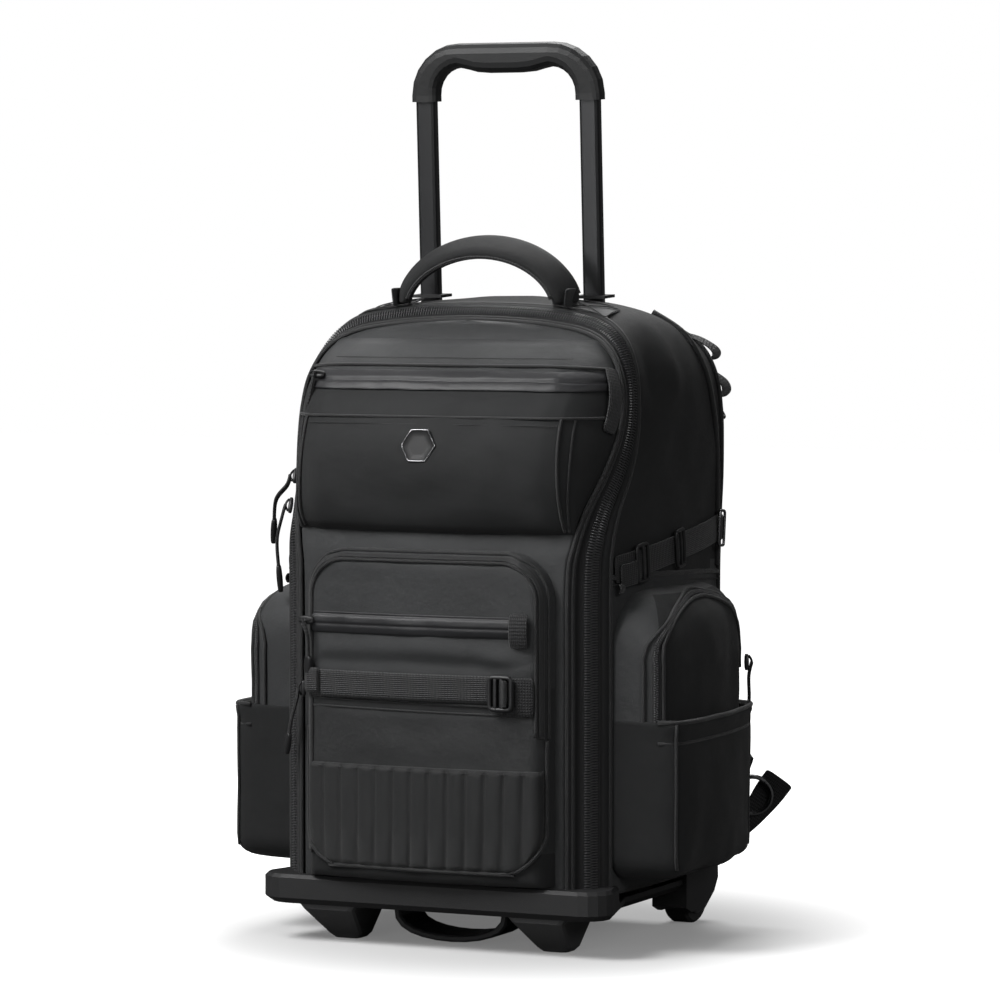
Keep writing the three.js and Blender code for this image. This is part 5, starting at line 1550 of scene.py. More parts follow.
@dataclass
class LowerPocket(SewnPanel):
    """The flat pocket below, with its piped arch, zip strip, webbing and ribbed panel."""

    half: float = 0.113
    low: float = 0.06
    high: float = 0.338
    radius: float = 0.04
    depth: float = 0.017
    edge: float = 0.016
    strip: tuple[float, float] = (0.2665, 0.2845)
    web: tuple[float, float] = (0.2125, 0.2355)
    rib_top: float = 0.157
    rib_count: int = 13
    foot: float = 0.0705
    foot_radius: float = 0.036
    folds: tuple[Fold, ...] = (
        Fold(((-0.1, -0.024, 0.243), (0.0, -0.027, 0.244), (0.1, -0.024, 0.242)), 0.005, -0.0016, 0.05),
        Fold(((-0.1, -0.024, 0.253), (0.0, -0.027, 0.256), (0.1, -0.024, 0.252)), 0.008, 0.002, 0.05),
        Fold(((0.05, -0.025, 0.25), (0.08, -0.024, 0.244), (0.108, -0.022, 0.238)), 0.006, 0.0018),
        Fold(((-0.1, -0.024, 0.205), (0.0, -0.027, 0.2035), (0.1, -0.024, 0.205)), 0.003, -0.001, 0.0),
        Fold(((-0.09, -0.024, 0.18), (0.0, -0.026, 0.17), (0.09, -0.024, 0.185)), 0.016, 0.0014))

    def half_at(self, z: float) -> float:
        """Give the pocket's half width at a height."""
        over = max(0.0, z - (self.high - self.radius))
        return self.half - self.radius + math.sqrt(max(self.radius ** 2 - over ** 2, 0.0))

    def place(self, across: float, z: float) -> Vector:
        """Give the pocket's point at a share of its width and a height."""
        half = self.half_at(z)
        x = across * half
        reach = min((1 - abs(across)) * half, self.high - z, z - self.low + 0.006)
        full = min(1.0, max(0.0, reach) / self.edge)
        return Vector((x, FORM.door_face(x, z) - 0.0006 - self.depth * (1 - (1 - full) ** 3.2), z))

    def relief(self, across: float, z: float) -> float:
        """Give how far folds and unevenness lift the pocket's cloth."""
        point = self.place(across, z)
        quiet = ease(1.0, 0.9, abs(across)) * ease(self.high, self.high - 0.012, z)
        return (sum(fold.lift(point) for fold in self.folds) + ruffle(point, 0.045, 0.0009, 5.0)) * quiet

    def shell(self) -> bpy.types.Object:
        """Sew the pocket.

        Returns:
            The pocket's object.
        """
        piece = Piece("lower_pocket_cloth", (COATED, CLOTH, SHADED_COAT), Slot.COATED)
        acrosses = [-1.0, -0.995, -0.98, -0.955, -0.92, *spread(-0.88, 0.88, 40), 0.92, 0.955, 0.98, 0.995,
                    1.0]
        heights = [*spread(self.low, self.high - 0.016, 84), self.high - 0.011, self.high - 0.007,
                   self.high - 0.004,
                   self.high - 0.0015, self.high]
        piece.grid([[self.on(a, z, self.relief(a, z)) for a in acrosses] for z in heights])
        # Painted shade: below the webbing the coated cloth takes its darker copy; below the foot it takes the
        # darker woven nylon.
        piece.paint(2, lambda at: at.z < 0.5 * sum(self.web))
        piece.paint(1, lambda at: at.z < self.foot + 0.5 * self.foot_radius)
        pocket = piece.build(levels=1)
        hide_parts("lower_pocket")
        return pocket

    def arch(self, inset: float, low_right: float) -> list[tuple[float, float]]:
        """List places on a line that follows the pocket's arch.

        Args:
            inset: how far inside the outline it runs.
            low_right: the height where it ends on the right.

        Returns:
            Pairs of across and height.
        """
        half, top, radius = self.half - inset, self.high - inset, self.radius - inset
        line = [(-half, z) for z in spread(0.08, top - radius - 0.004, 10)]
        for i in range(11):
            angle = math.pi - math.pi / 2 * i / 10
            line.append((radius - half + radius * math.cos(angle), top - radius + radius * math.sin(angle)))
        line += [(x, top) for x in spread(-(half - radius) + 0.01, half - radius - 0.01, 10)]
        for i in range(11):
            angle = math.pi / 2 - math.pi / 2 * i / 10
            line.append((half - radius + radius * math.cos(angle), top - radius + radius * math.sin(angle)))
        line += [(half, z) for z in spread(top - radius - 0.004, low_right, 10)]
        return [(x / self.half_at(z), z) for x, z in line]

    def foot_line(self, inset: float) -> list[tuple[float, float]]:
        """List places on the piping that rounds the pocket's foot.

        Args:
            inset: how far inside the pocket's sides it runs.

        Returns:
            Pairs of across and height.
        """
        half, radius = self.half - inset, self.foot_radius
        line = [(-half, z) for z in spread(0.186, self.foot + radius + 0.004, 8)]
        for start, middle in ((math.pi, radius - half), (1.5 * math.pi, half - radius)):
            line += [(middle + radius * math.cos(a), self.foot + radius + radius * math.sin(a))
                     for a in spread(start, start + 0.5 * math.pi, 8)]
        line += [(half, z) for z in spread(self.foot + radius + 0.004, 0.182, 8)]
        return [(x / self.half, z) for x, z in line]

    def rib_half(self, z: float) -> float:
        """Give how far the ribbed panel reaches across at a height, as a share of the pocket."""
        over = min(self.foot_radius, max(0.0, self.foot + self.foot_radius - z))
        drawn = self.foot_radius - math.sqrt(self.foot_radius ** 2 - over ** 2)
        return (self.half - 0.0045 - drawn) / self.half

    def seams(self) -> bpy.types.Object:
        """Lay the double piping of the arch, the cross seams and the stitching.

        Returns:
            The seams' object.
        """
        piece = Piece("lower_pocket_seams", (PIPING, THREAD), Slot.CLOTH)
        for inset, low_right, radius in ((0.0025, 0.184, 0.0015), (0.0095, 0.186, 0.0015)):
            path, _ = self.run(self.arch(inset, low_right), 0.0006, 2)
            piece.tube(path, radius)
        path, _ = self.run(self.foot_line(0.0035), 0.001, 2)
        piece.tube(path, 0.0017)
        for z, radius in ((0.2105, 0.001), (0.2035, 0.0009)):
            line = [(a, z - 0.0012 * a) for a in spread(-0.92, 0.9, 12)]
            piece.tube(self.laid(line, 0.0004), radius)
        self.stitches(piece, [(a, self.rib_top - 0.0035 + 0.001 * a * a) for a in spread(-0.92, 0.92, 8)], 1,
                      lift=0.0026)
        return piece.build()

    def band(self) -> bpy.types.Object:
        """Sew the dull band between the two pipings of the arch, where the pocket opens.

        Returns:
            The band's object.
        """
        piece = Piece("lower_pocket_band", (PIPING, THREAD), Slot.CLOTH)
        path, normals = self.run(self.arch(0.006, 0.184), 0.0004, 2)
        piece.ribbon(path, 0.0058, 0.0014, normals)
        return piece.build()

    def zip_strip(self) -> bpy.types.Object:
        """Sew the glossy strip over the pocket's upper zip.

        Returns:
            The strip's object.
        """
        piece = Piece("pocket_zip_cover", (GLOSSY,), Slot.COATED)
        low, high = self.strip

        def lift(a: float, z: float) -> float:
            """Raise the strip into a soft roll with a slit above it."""
            share = (z - low) / (high - low)
            roll = 0.0024 * max(0.0, math.sin(math.pi * share)) ** 0.7
            slit = 0.0016 * hump(0.88, 0.05, share) + 0.001 * hump(0.42, 0.05, share)
            return self.relief(a, z) + 0.001 + roll - slit + ruffle(Vector((a, 1.0, z * 8)), 0.2, 0.0006, 6.0)

        self.patch(piece, spread(-0.9, 0.74, 56), spread(low, high, 16), lift)
        strip = piece.build(levels=1, thick=0.0008)
        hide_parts("pocket_zip_strip")
        return strip

    def belt(self) -> bpy.types.Object:
        """Lay the webbing across the pocket with its end tab.

        Returns:
            The webbing's object.
        """
        piece = Piece("pocket_webbing", (WEBBING, THREAD), Slot.WEBBING)
        low, high = self.web
        middle = 0.5 * (low + high)
        places = [(a, middle) for a in spread(-0.9, 0.66, 24)]
        path = [self.on(a, z, self.relief(a, z) + 0.0018 + 0.0012 * math.sin(math.pi * (a + 0.9) / 1.56))
                for a, z in places]
        piece.ribbon(path, high - low, 0.0016, self.facings(places))
        tab = [(a, middle + 0.002) for a in spread(-0.955, -0.835, 6)]
        piece.ribbon([self.on(a, z, 0.0042 + 0.0015 * math.sin(math.pi * i / 6)) for i,
                      (a, z) in enumerate(tab)],
                     0.0215, 0.0018, self.facings(tab))
        belt = piece.build()
        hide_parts("front_webbing")
        return belt

    def fittings(self) -> bpy.types.Object:
        """Add the strip's end tab, the pad behind the buckle, and the cord pulls.

        Returns:
            The fittings' object.
        """
        piece = Piece("pocket_fittings", (HARD_CLIP, WEBBING, SPACER), Slot.WEBBING)
        tab = [(0.8, z) for z in spread(0.259, 0.288, 8)]
        piece.ribbon([self.on(a, z, 0.0034 + 0.0032 * math.sin(math.pi * i / 8) ** 0.7) for i,
                      (a, z) in enumerate(tab)],
                     0.0165, 0.0018, self.facings(tab), 1)
        pad = [(a, 0.2185) for a in spread(0.66, 0.905, 8)]
        piece.ribbon([self.on(a, z, 0.0018) for a, z in pad], 0.0335, 0.0036,
                     self.facings(pad), 2)
        at = self.on(-0.915, 0.2765, 0.0035)
        ZipPull().hang(piece, at, Vector((1, 0, 0)), self.facing(-0.9, 0.2765),
                       ((0.001, -0.006, -0.01), (0.002, -0.005, -0.022), (0.001, -0.003, -0.032)), 0.014)
        at = self.on(-0.985, 0.217, 0.0035)
        ZipPull().hang(piece, at, Vector((0, 0, 1)), self.facing(-0.95, 0.217),
                       ((-0.007, -0.005, -0.009), (-0.013, -0.003, -0.026), (-0.017, 0.0, -0.04)), 0.018)
        return piece.build(levels=1)

    def ribs(self) -> bpy.types.Object:
        """Sew the ribbed panel at the pocket's foot.

        Returns:
            The panel's object.
        """
        piece = Piece("ribbed_panel", (RIBBED,), Slot.COATED)

        def lift(a: float, z: float) -> float:
            """Swell each channel between its two stitched lines."""
            top = self.rib_top + 0.001 * a * a
            slant = (z - self.low) * 0.2 * (0.4 + 0.6 * a)
            wave = ((a - slant) / 0.955 + 1.0) * 0.5 * self.rib_count
            swell = abs(math.sin(math.pi * wave)) ** 0.55
            ends = ease(top, top - 0.0045, z) * ease(self.foot, self.foot + 0.005, z)
            sides = ease(self.rib_half(z), self.rib_half(z) - 0.03, abs(a))
            return self.relief(a, z) * 0.4 + 0.0006 + 0.003 * swell * ends * sides

        heights = [*[self.foot + self.foot_radius * (1 - math.cos(a))
                     for a in spread(0.06, 0.5 * math.pi, 14)],
                   *spread(self.foot + self.foot_radius + 0.003, self.rib_top - 0.006, 14),
                   *spread(self.rib_top - 0.0045, self.rib_top, 4)]
        shares = spread(-1.0, 1.0, self.rib_count * 14)
        piece.grid([[self.on(u * self.rib_half(z), z, lift(u * self.rib_half(z), z)) for u in shares]
                    for z in heights])
        panel = piece.build(levels=0, thick=0.001)
        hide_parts("rib_panel")
        return panel

    def dress(self) -> list[bpy.types.Object]:
        """Build the pocket's pieces."""
        return [self.shell(), self.band(), self.seams(), self.zip_strip(), self.belt(), self.fittings(),
                self.ribs()]


@dataclass
class SidePocket(SewnPanel):
    """A side pouch with its folded hem, or its zipped arch. Across runs from 0 in front to 1 behind."""

    side: int = 1
    title: str = "left"
    front: float = 0.031
    back: float = 0.236
    low: float = 0.062
    hem: float = 0.197
    high: float = 0.304
    swell: float = 0.055
    arch_swell: float = 0.043
    lean: float = 0.42
    arch: bool = False

    def outline(self, z: float) -> tuple[float, float]:
        """Give the pocket's front and back edge at a height.

        Args:
            z: the height above the floor.

        Returns:
            Both distances behind the datum.
        """
        if self.arch:
            radius = 0.5 * (self.back - self.front) / 2
            over = max(0.0, z - (self.high - radius))
            draw = radius - math.sqrt(max(radius ** 2 - over ** 2, 0.0))
            return self.front + 0.001 + draw, self.back - 0.001 - draw
        radius = 0.022
        under = max(0.0, self.low + radius - z)
        draw = radius - math.sqrt(max(radius ** 2 - under ** 2, 0.0))
        return self.front + draw, self.back - draw

    def place(self, across: float, z: float) -> Vector:
        """Give the pocket's point at a share from front to back and a height."""
        start, end = self.outline(z)
        y = start + (end - start) * across
        side_reach = min(y - start, end - y)
        full_out = self.arch_swell if self.arch else self.swell
        edge = (self.high - z) if self.arch else (z - self.low)
        rows = ((0.0, 0.0), (0.002, 0.48), (0.006, 0.78), (0.013, 0.94), (0.03, 1.0)) if self.arch else (
            (0.0, 0.0), (0.0012, 0.55), (0.005, 0.84), (0.013, 0.95), (0.032, 1.0))
        reach = max(0.0, min(side_reach, edge))
        out = full_out * read_table(rows, reach)[0]
        if self.arch:
            out = full_out * read_table(rows, max(0.0, side_reach))[0] * read_table(
                ((0.0, 0.0), (0.003, 0.4), (0.01, 0.66), (0.026, 0.88), (0.06, 1.0)), max(0.0, edge))[0]
        lean = 1.12 - self.lean * (y - self.front) / (self.back - self.front)
        return Vector((self.side * (FORM.body_side(y, z) + 0.0004 + out * lean), y, z))

    def facing(self, across: float, z: float) -> Vector:
        """Give the outward direction, on either side of the bag."""
        return super().facing(across, z) * self.side

    def relief(self, across: float, z: float) -> float:
        """Give how far fullness and folds lift the pocket's cloth."""
        point = self.place(across, z)
        quiet = ease(0.0, 0.05, across) * ease(0.0, 0.05, 1.0 - across)
        if self.arch:
            slope = 0.003 * hump(0.45, 0.22, across) * hump(0.255, 0.03, z)
            dent = -0.003 * hump(0.8, 0.14, across) * hump(0.225, 0.03, z)
            return (slope + dent + ruffle(point, 0.05, 0.002, 7.0)) * quiet
        hem_fold = 0.003 * hump(self.hem - 0.004, 0.004, z) - 0.0018 * hump(self.hem - 0.017, 0.003, z)
        sag = 0.003 * hump(0.55, 0.3, across) * hump(0.13, 0.04, z)
        return (hem_fold + sag + ruffle(point, 0.055, 0.0022, 8.0)) * quiet

    def shell(self) -> bpy.types.Object:
        """Sew the pocket's cloth.

        Returns:
            The pocket's object.
        """
        name = ("side_arch_" if self.arch else "side_pouch_cloth_") + self.title
        piece = Piece(name, (COATED if self.arch else CLOTH, CLOTH), Slot.COATED if self.arch else Slot.CLOTH)
        acrosses = [0.0, 0.006, 0.02, 0.04, *spread(0.065, 0.935, 30), 0.96, 0.98, 0.994, 1.0]
        if self.arch:
            heights = [*spread(self.hem - 0.012, self.high - 0.02, 26), self.high - 0.014, self.high - 0.008,
                       self.high - 0.004, self.high - 0.0015, self.high]
        else:
            heights = [self.low, self.low + 0.0012, self.low + 0.004, *spread(self.low + 0.009, self.hem, 40)]
        rows = [[self.on(a, z, self.relief(a, z)) for a in acrosses] for z in heights]
        if not self.arch:
            rows.append([self.place(a, self.hem) - self.facing(a, self.hem) * 0.004 for a in acrosses])
            rows.append([self.place(a, self.hem - 0.01) - self.facing(a, self.hem - 0.01) * 0.004
                         for a in acrosses])
        piece.grid(rows, flip=self.side < 0)
        if self.arch:
            for number in range(len(piece.faces)):
                row, column = divmod(number, len(acrosses) - 1)
                if acrosses[column] >= 0.04 and heights[row] < self.high - 0.005:
                    piece.finish_of[number] = 1
        pocket = piece.build(levels=1)
        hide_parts(("side_pocket_" if self.arch else "side_pouch_") + self.title)
        return pocket

    def trims(self) -> bpy.types.Object:
        """Lay the piping and, on the arch, the coil zip along its front and top.

        Returns:
            The trims' object.
        """
        name = ("side_arch_trims_" if self.arch else "side_pouch_trims_") + self.title
        piece = Piece(name, (HARD_CLIP, WEBBING, PIPING, COIL, TAPE), Slot.CLOTH)
        if not self.arch:
            for z, radius, lift in ((self.hem - 0.0005, 0.002, 0.0), (self.hem - 0.018, 0.0015, -0.0002)):
                places = [(a, z) for a in spread(0.01, 0.99, 30)]
                piece.tube([self.on(a, h, self.relief(a, h) + lift) for a, h in places], radius, 2)
            for across in (0.035, 0.965):
                places = [(across, z) for z in spread(self.low + 0.012, self.hem - 0.002, 12)]
                piece.tube(self.laid(places, 0.0004), 0.0014, 2)
            return piece.build()
        for inset, radius in ((0.014, 0.0016), (0.044, 0.0016)):
            places = self.arch_line(inset)
            piece.tube(self.laid(places, 0.0006), radius, 2)
        places = self.arch_line(0.029)
        path = self.laid(places, 0.0004)
        normals = self.facings(places)
        piece.ribbon(path, 0.0052, 0.001, normals, 4)
        CoilZip(width=0.0042, pitch=0.002, rise=0.0012).lay(piece,
                                                            [p + n * 0.0004 for p, n in zip(path, normals)],
                                                             normals, 3)
        at = self.on(0.935, 0.232, 0.003)
        ZipPull().hang(piece, at, Vector((0, 0, 1)), self.facing(0.93, 0.232),
                       ((self.side * 0.004, 0.003, -0.012), (self.side * 0.004, 0.004, -0.03),
                        (self.side * 0.003, 0.004, -0.044)), 0.016)
        return piece.build()

    def arch_line(self, inset: float) -> list[tuple[float, float]]:
        """List places on a line that runs up the arch's front, over its top and down its back.

        Args:
            inset: how far inside the outline it runs, as a share of the depth.

        Returns:
            Pairs of across and height.
        """
        drop = inset * (self.back - self.front)
        top = self.high - drop
        line = [(inset, z) for z in spread(self.hem - 0.004, self.high - 0.055, 16)]
        for i in range(1, 22):
            angle = math.pi - math.pi * i / 22
            low = self.high - 0.055
            z = low + (top - low) * math.sin(angle) ** 0.75
            line.append((0.5 + (0.5 - inset) * math.cos(angle), z))
        line += [(1.0 - inset, z) for z in spread(self.high - 0.055, self.hem + 0.03, 12)]
        return line

    def dress(self) -> list[bpy.types.Object]:
        """Build the pocket's pieces."""
        return [self.shell(), self.trims()]


@dataclass(frozen=True)
class LadderLock:
    """A moulded frame with rounded edges and cross bars that webbing is threaded through."""

    width: float
    height: float
    wire: float = 0.0019
    bars: tuple[float, ...] = (0.0,)

    def add(self, piece: Piece, centre: Vector, right: Vector, up: Vector, finish: int = 0,
            tilt: float = 0.0) -> None:
        """Add the frame to a piece.

        Args:
            piece: the piece that it is added to.
            centre: the frame's middle.
            right: the direction across its bars' gaps.
            up: the direction along its bars.
            finish: which of the piece's finishes it has.
            tilt: how far its second side stands off, in metres.
        """
        normal = right.cross(up).normalized()
        half, tall, corner = self.width / 2 - self.wire, self.height / 2 - self.wire, self.wire * 1.6
        ring = []
        for x, z, start in ((half - corner, tall - corner, 0), (corner - half, tall - corner, 90),
                            (corner - half, corner - tall, 180), (half - corner, corner - tall, 270)):
            for i in range(5):
                angle = math.radians(start + 22.5 * i)
                u, v = x + corner * math.cos(angle), z + corner * math.sin(angle)
                ring.append(centre + right * u + up * v + normal * (tilt * (0.5 + 0.5 * u / half)))
        piece.tube(ring, self.wire, finish, 8, closed=True)
        for bar in self.bars:
            lift = normal * (tilt * (0.5 + 0.5 * bar))
            ends = [centre + right * (bar * half) + up * (k * tall) + lift
                    for k in (-1.0, -0.5, 0.0, 0.5, 1.0)]
            piece.ribbon(ends, self.wire * 1.9, self.wire * 1.8, normal, finish)


@dataclass
class SideStrap:
    """The compression strap across one side, with its two frames, its tail and its metal ring."""

    side: int
    title: str
    width: float = 0.024
    start: tuple[float, float] = (0.034, 0.322)
    end: tuple[float, float] = (0.244, 0.348)

    def at(self, share: float, lift: float = 0.0) -> Vector:
        """Give a point of the strap's middle line."""
        y = self.start[0] + (self.end[0] - self.start[0]) * share
        z = self.start[1] + (self.end[1] - self.start[1]) * share
        return Vector((self.side * (FORM.body_side(y, z) + 0.0022 + lift), y, z))

    @property
    def facing(self) -> Vector:
        """Give the direction that the strap faces."""
        return Vector((float(self.side), 0.0, 0.0))

    def webbing(self) -> bpy.types.Object:
        """Lay the strap, threaded over its frames' bars, and its loose tail.

        Returns:
            The strap's object.
        """
        piece = Piece("compression_strap_" + self.title, (WEBBING, THREAD), Slot.WEBBING)

        def lift(share: float) -> float:
            """Rise over the two frames and slacken between them."""
            return 0.0022 * hump(0.17, 0.035, share) + 0.0022 * hump(0.5, 0.035, share) + 0.0012 * math.sin(
                math.pi * share) + 0.001 * math.sin(9.0 * share)

        path = [self.at(share, lift(share)) for share in spread(0.0, 1.0, 48)]
        piece.ribbon(path, self.width, 0.0015, self.facing)
        tail = [self.at(share, 0.003 + 0.0016 * math.sin(math.pi * (share - 0.02) / 0.15))
                - Vector((0, 0, 0.006))
                for share in spread(0.02, 0.17, 10)]
        piece.ribbon(tail, self.width * 0.86, 0.0014, self.facing)
        fold = [self.at(0.02, 0.003 + 0.0018 * math.sin(math.pi * k))
                - Vector((0, 0, 0.012 + 0.008 * (1 - k)))
                for k in spread(0.0, 1.0, 6)]
        piece.ribbon(fold, 0.01, 0.0014, self.facing)
        strap = piece.build(levels=1)
        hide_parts("side_strap_" + self.title)
        return strap

    def frames(self) -> bpy.types.Object:
        """Mould the two frames.

        Returns:
            The frames' object.
        """
        piece = Piece("strap_frames_" + self.title, (HARD_CLIP,), Slot.PLASTIC)
        run = (self.at(1.0) - self.at(0.0)).normalized()
        up = Vector((0, 0, 1)) - run * run.z
        for share, lift, tilt in ((0.17, 0.0036, 0.0016), (0.5, 0.0036, -0.0012)):
            lock = LadderLock(0.021, 0.0345, 0.0018, (0.0,))
            lock.add(piece, self.at(share, lift), run, up.normalized(), tilt=tilt * self.side)
        frames = piece.build(levels=1)
        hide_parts("side_buckle_front_" + self.title, "side_buckle_rear_" + self.title)
        return frames

    def ring(self) -> bpy.types.Object:
        """Bend the metal ring at the strap's rear end.

        Returns:
            The ring's object.
        """
        piece = Piece("strap_ring_" + self.title, (PLATED, WEBBING), Slot.METAL)
        up = Vector((0.0, 0.1, 1.0)).normalized()
        lock = LadderLock(0.012, 0.033, 0.0014, ())
        lock.add(piece, self.at(0.955, 0.0052), Vector((0.0, 1.0, -0.1)).normalized(), up,
                 tilt=0.001 * self.side)
        loop = [self.at(share, 0.0044) for share in spread(0.93, 1.0, 5)]
        piece.ribbon(loop, 0.022, 0.0016, self.facing, 1)
        return piece.build(levels=1)

    def dress(self) -> list[bpy.types.Object]:
        """Build the strap's pieces."""
        return [self.webbing(), self.frames(), self.ring()]


@dataclass
class GrabHandle:
    """The padded arch on top, with its bound edges and its stitched feet."""

    half: float = 0.077
    y: float = 0.101
    rise: float = 0.043
    width: float = 0.03
    thick: float = 0.0105
    roll: float = math.radians(33.0)

    def facing(self, path: Sequence[Vector]) -> list[Vector]:
        """Give the direction that the band's broad face has along its arch, rolled towards the front."""
        middle = Vector((0.0, self.y, FORM.height_at(1.0) - 0.03))
        front = Vector((0.0, -math.sin(self.roll), 0.0))
        return [((point - middle).normalized() * math.cos(self.roll) + front).normalized() for point in path]

    def edge(self, side: int) -> list[Vector]:
        """Give the line along one of the band's edges.

        Args:
            side: -1 for the front edge and 1 for the back one.

        Returns:
            Its points.
        """
        path = self.arch(36)
        line = []
        for i, normal in enumerate(self.facing(path)):
            run = heading(path, i)
            line.append(path[i] + normal.cross(run).normalized() * (side * (self.width / 2 - 0.0006))
                        - normal * self.thick * 0.1)
        return line

    def arch(self, count: int) -> list[Vector]:
        """Draw the arch's middle line.

        Args:
            count: how many steps it takes.

        Returns:
            Its points.
        """
        foot = FORM.height_at(1.0) + 0.0012
        points = []
        for angle in spread(0.0, math.pi, count):
            high = foot + (self.rise + self.thick / 2) * math.sin(angle) ** 1.15
            points.append(Vector((self.half * math.cos(angle), self.y, high)))
        return points

    def pad(self) -> bpy.types.Object:
        """Sew the padded arch.

        Returns:
            The pad's object.
        """
        piece = Piece("grab_handle_pad", (CLOTH,), Slot.PADDING)
        section = [(self.width / 2 * u, self.thick / 2 * v) for u, v in cushion(20, 0.62, 0.8)]
        path = self.arch(40)
        piece.sweep(path, section, self.facing(path),
                    swell=lambda share: 0.8 + 0.2 * ease(0.0, 0.1, share) * ease(0.0, 0.1, 1 - share))
        pad = piece.build(levels=1)
        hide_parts("grab_handle")
        return pad

    def binding(self) -> bpy.types.Object:
        """Sew the binding along the handle's edges and the strap under it.

        Returns:
            The binding's object.
        """
        piece = Piece("grab_handle_binding", (WEBBING, THREAD), Slot.WEBBING)
        path = self.arch(36)
        normals = self.facing(path)
        piece.ribbon([point - normal * self.thick * 0.5 for point, normal in zip(path, normals)], 0.022,
                     0.0016, normals)
        for side in (-1, 1):
            piece.tube(self.edge(side)[2:-2], 0.0019, 0, 8)
        return piece.build()

    def feet(self) -> bpy.types.Object:
        """Sew the patches that hold the handle's ends, with their crossed stitching.

        Returns:
            The patches' object.
        """
        piece = Piece("grab_handle_feet", (COATED, PIPING), Slot.WEBBING)
        for side in (-1, 1):
            grid = []
            for across in spread(-1.0, 1.0, 8):
                line = []
                for reach in spread(0.068, 0.116, 12):
                    y = self.y + 0.008 + 0.016 * across
                    z = top_height(reach, y) + 0.0016
                    line.append(Vector((side * reach, y, z)))
                grid.append(line)
            piece.grid(grid, flip=side < 0)
            runs = [(0, 0, 0, 12), (8, 0, 8, 12), (0, 0, 8, 0), (0, 12, 8, 12), (0, 0, 8, 12), (8, 0, 0, 12)]
            for r0, c0, r1, c1 in runs:
                seam = [grid[round(r0 + (r1 - r0) * t)][round(c0 + (c1 - c0) * t)] + Vector((0, 0, 0.001))
                        for t in spread(0.0, 1.0, 6)]
                piece.tube(seam, 0.0007, 1, 6)
            wrap = [Vector((side * (self.half + 0.0052 - 0.002 * k), self.y,
                            FORM.height_at(1.0) + 0.014 - 0.016 * k))
                    for k in spread(0.0, 1.0, 6)]
            piece.ribbon(wrap, self.width * 0.92, 0.0024, Vector((float(side), 0.0, 0.3)).normalized(), 0)
        return piece.build(levels=1)

    def dress(self) -> list[bpy.types.Object]:
        """Build the handle's pieces."""
        return [self.pad(), self.binding(), self.feet()]


def top_height(x: float, y: float) -> float:
    """Give the height of the body's top above a place seen from above.

    Args:
        x: how far from the middle.
        y: how far back.

    Returns:
        The height above the floor.
    """
    best, height = 1e9, FORM.height_at(1.0)
    for row in spread(8.0, FORM.crown, 60):
        edge = FORM.body_edge(1, row)
        share = min(1.0, max(0.0, (y - edge.y) / (FORM.rear - edge.y)))
        point = FORM.body_point(1, row, share)
        if abs(point.x - abs(x)) < best:
            best, height = abs(point.x - abs(x)), point.z
    return height


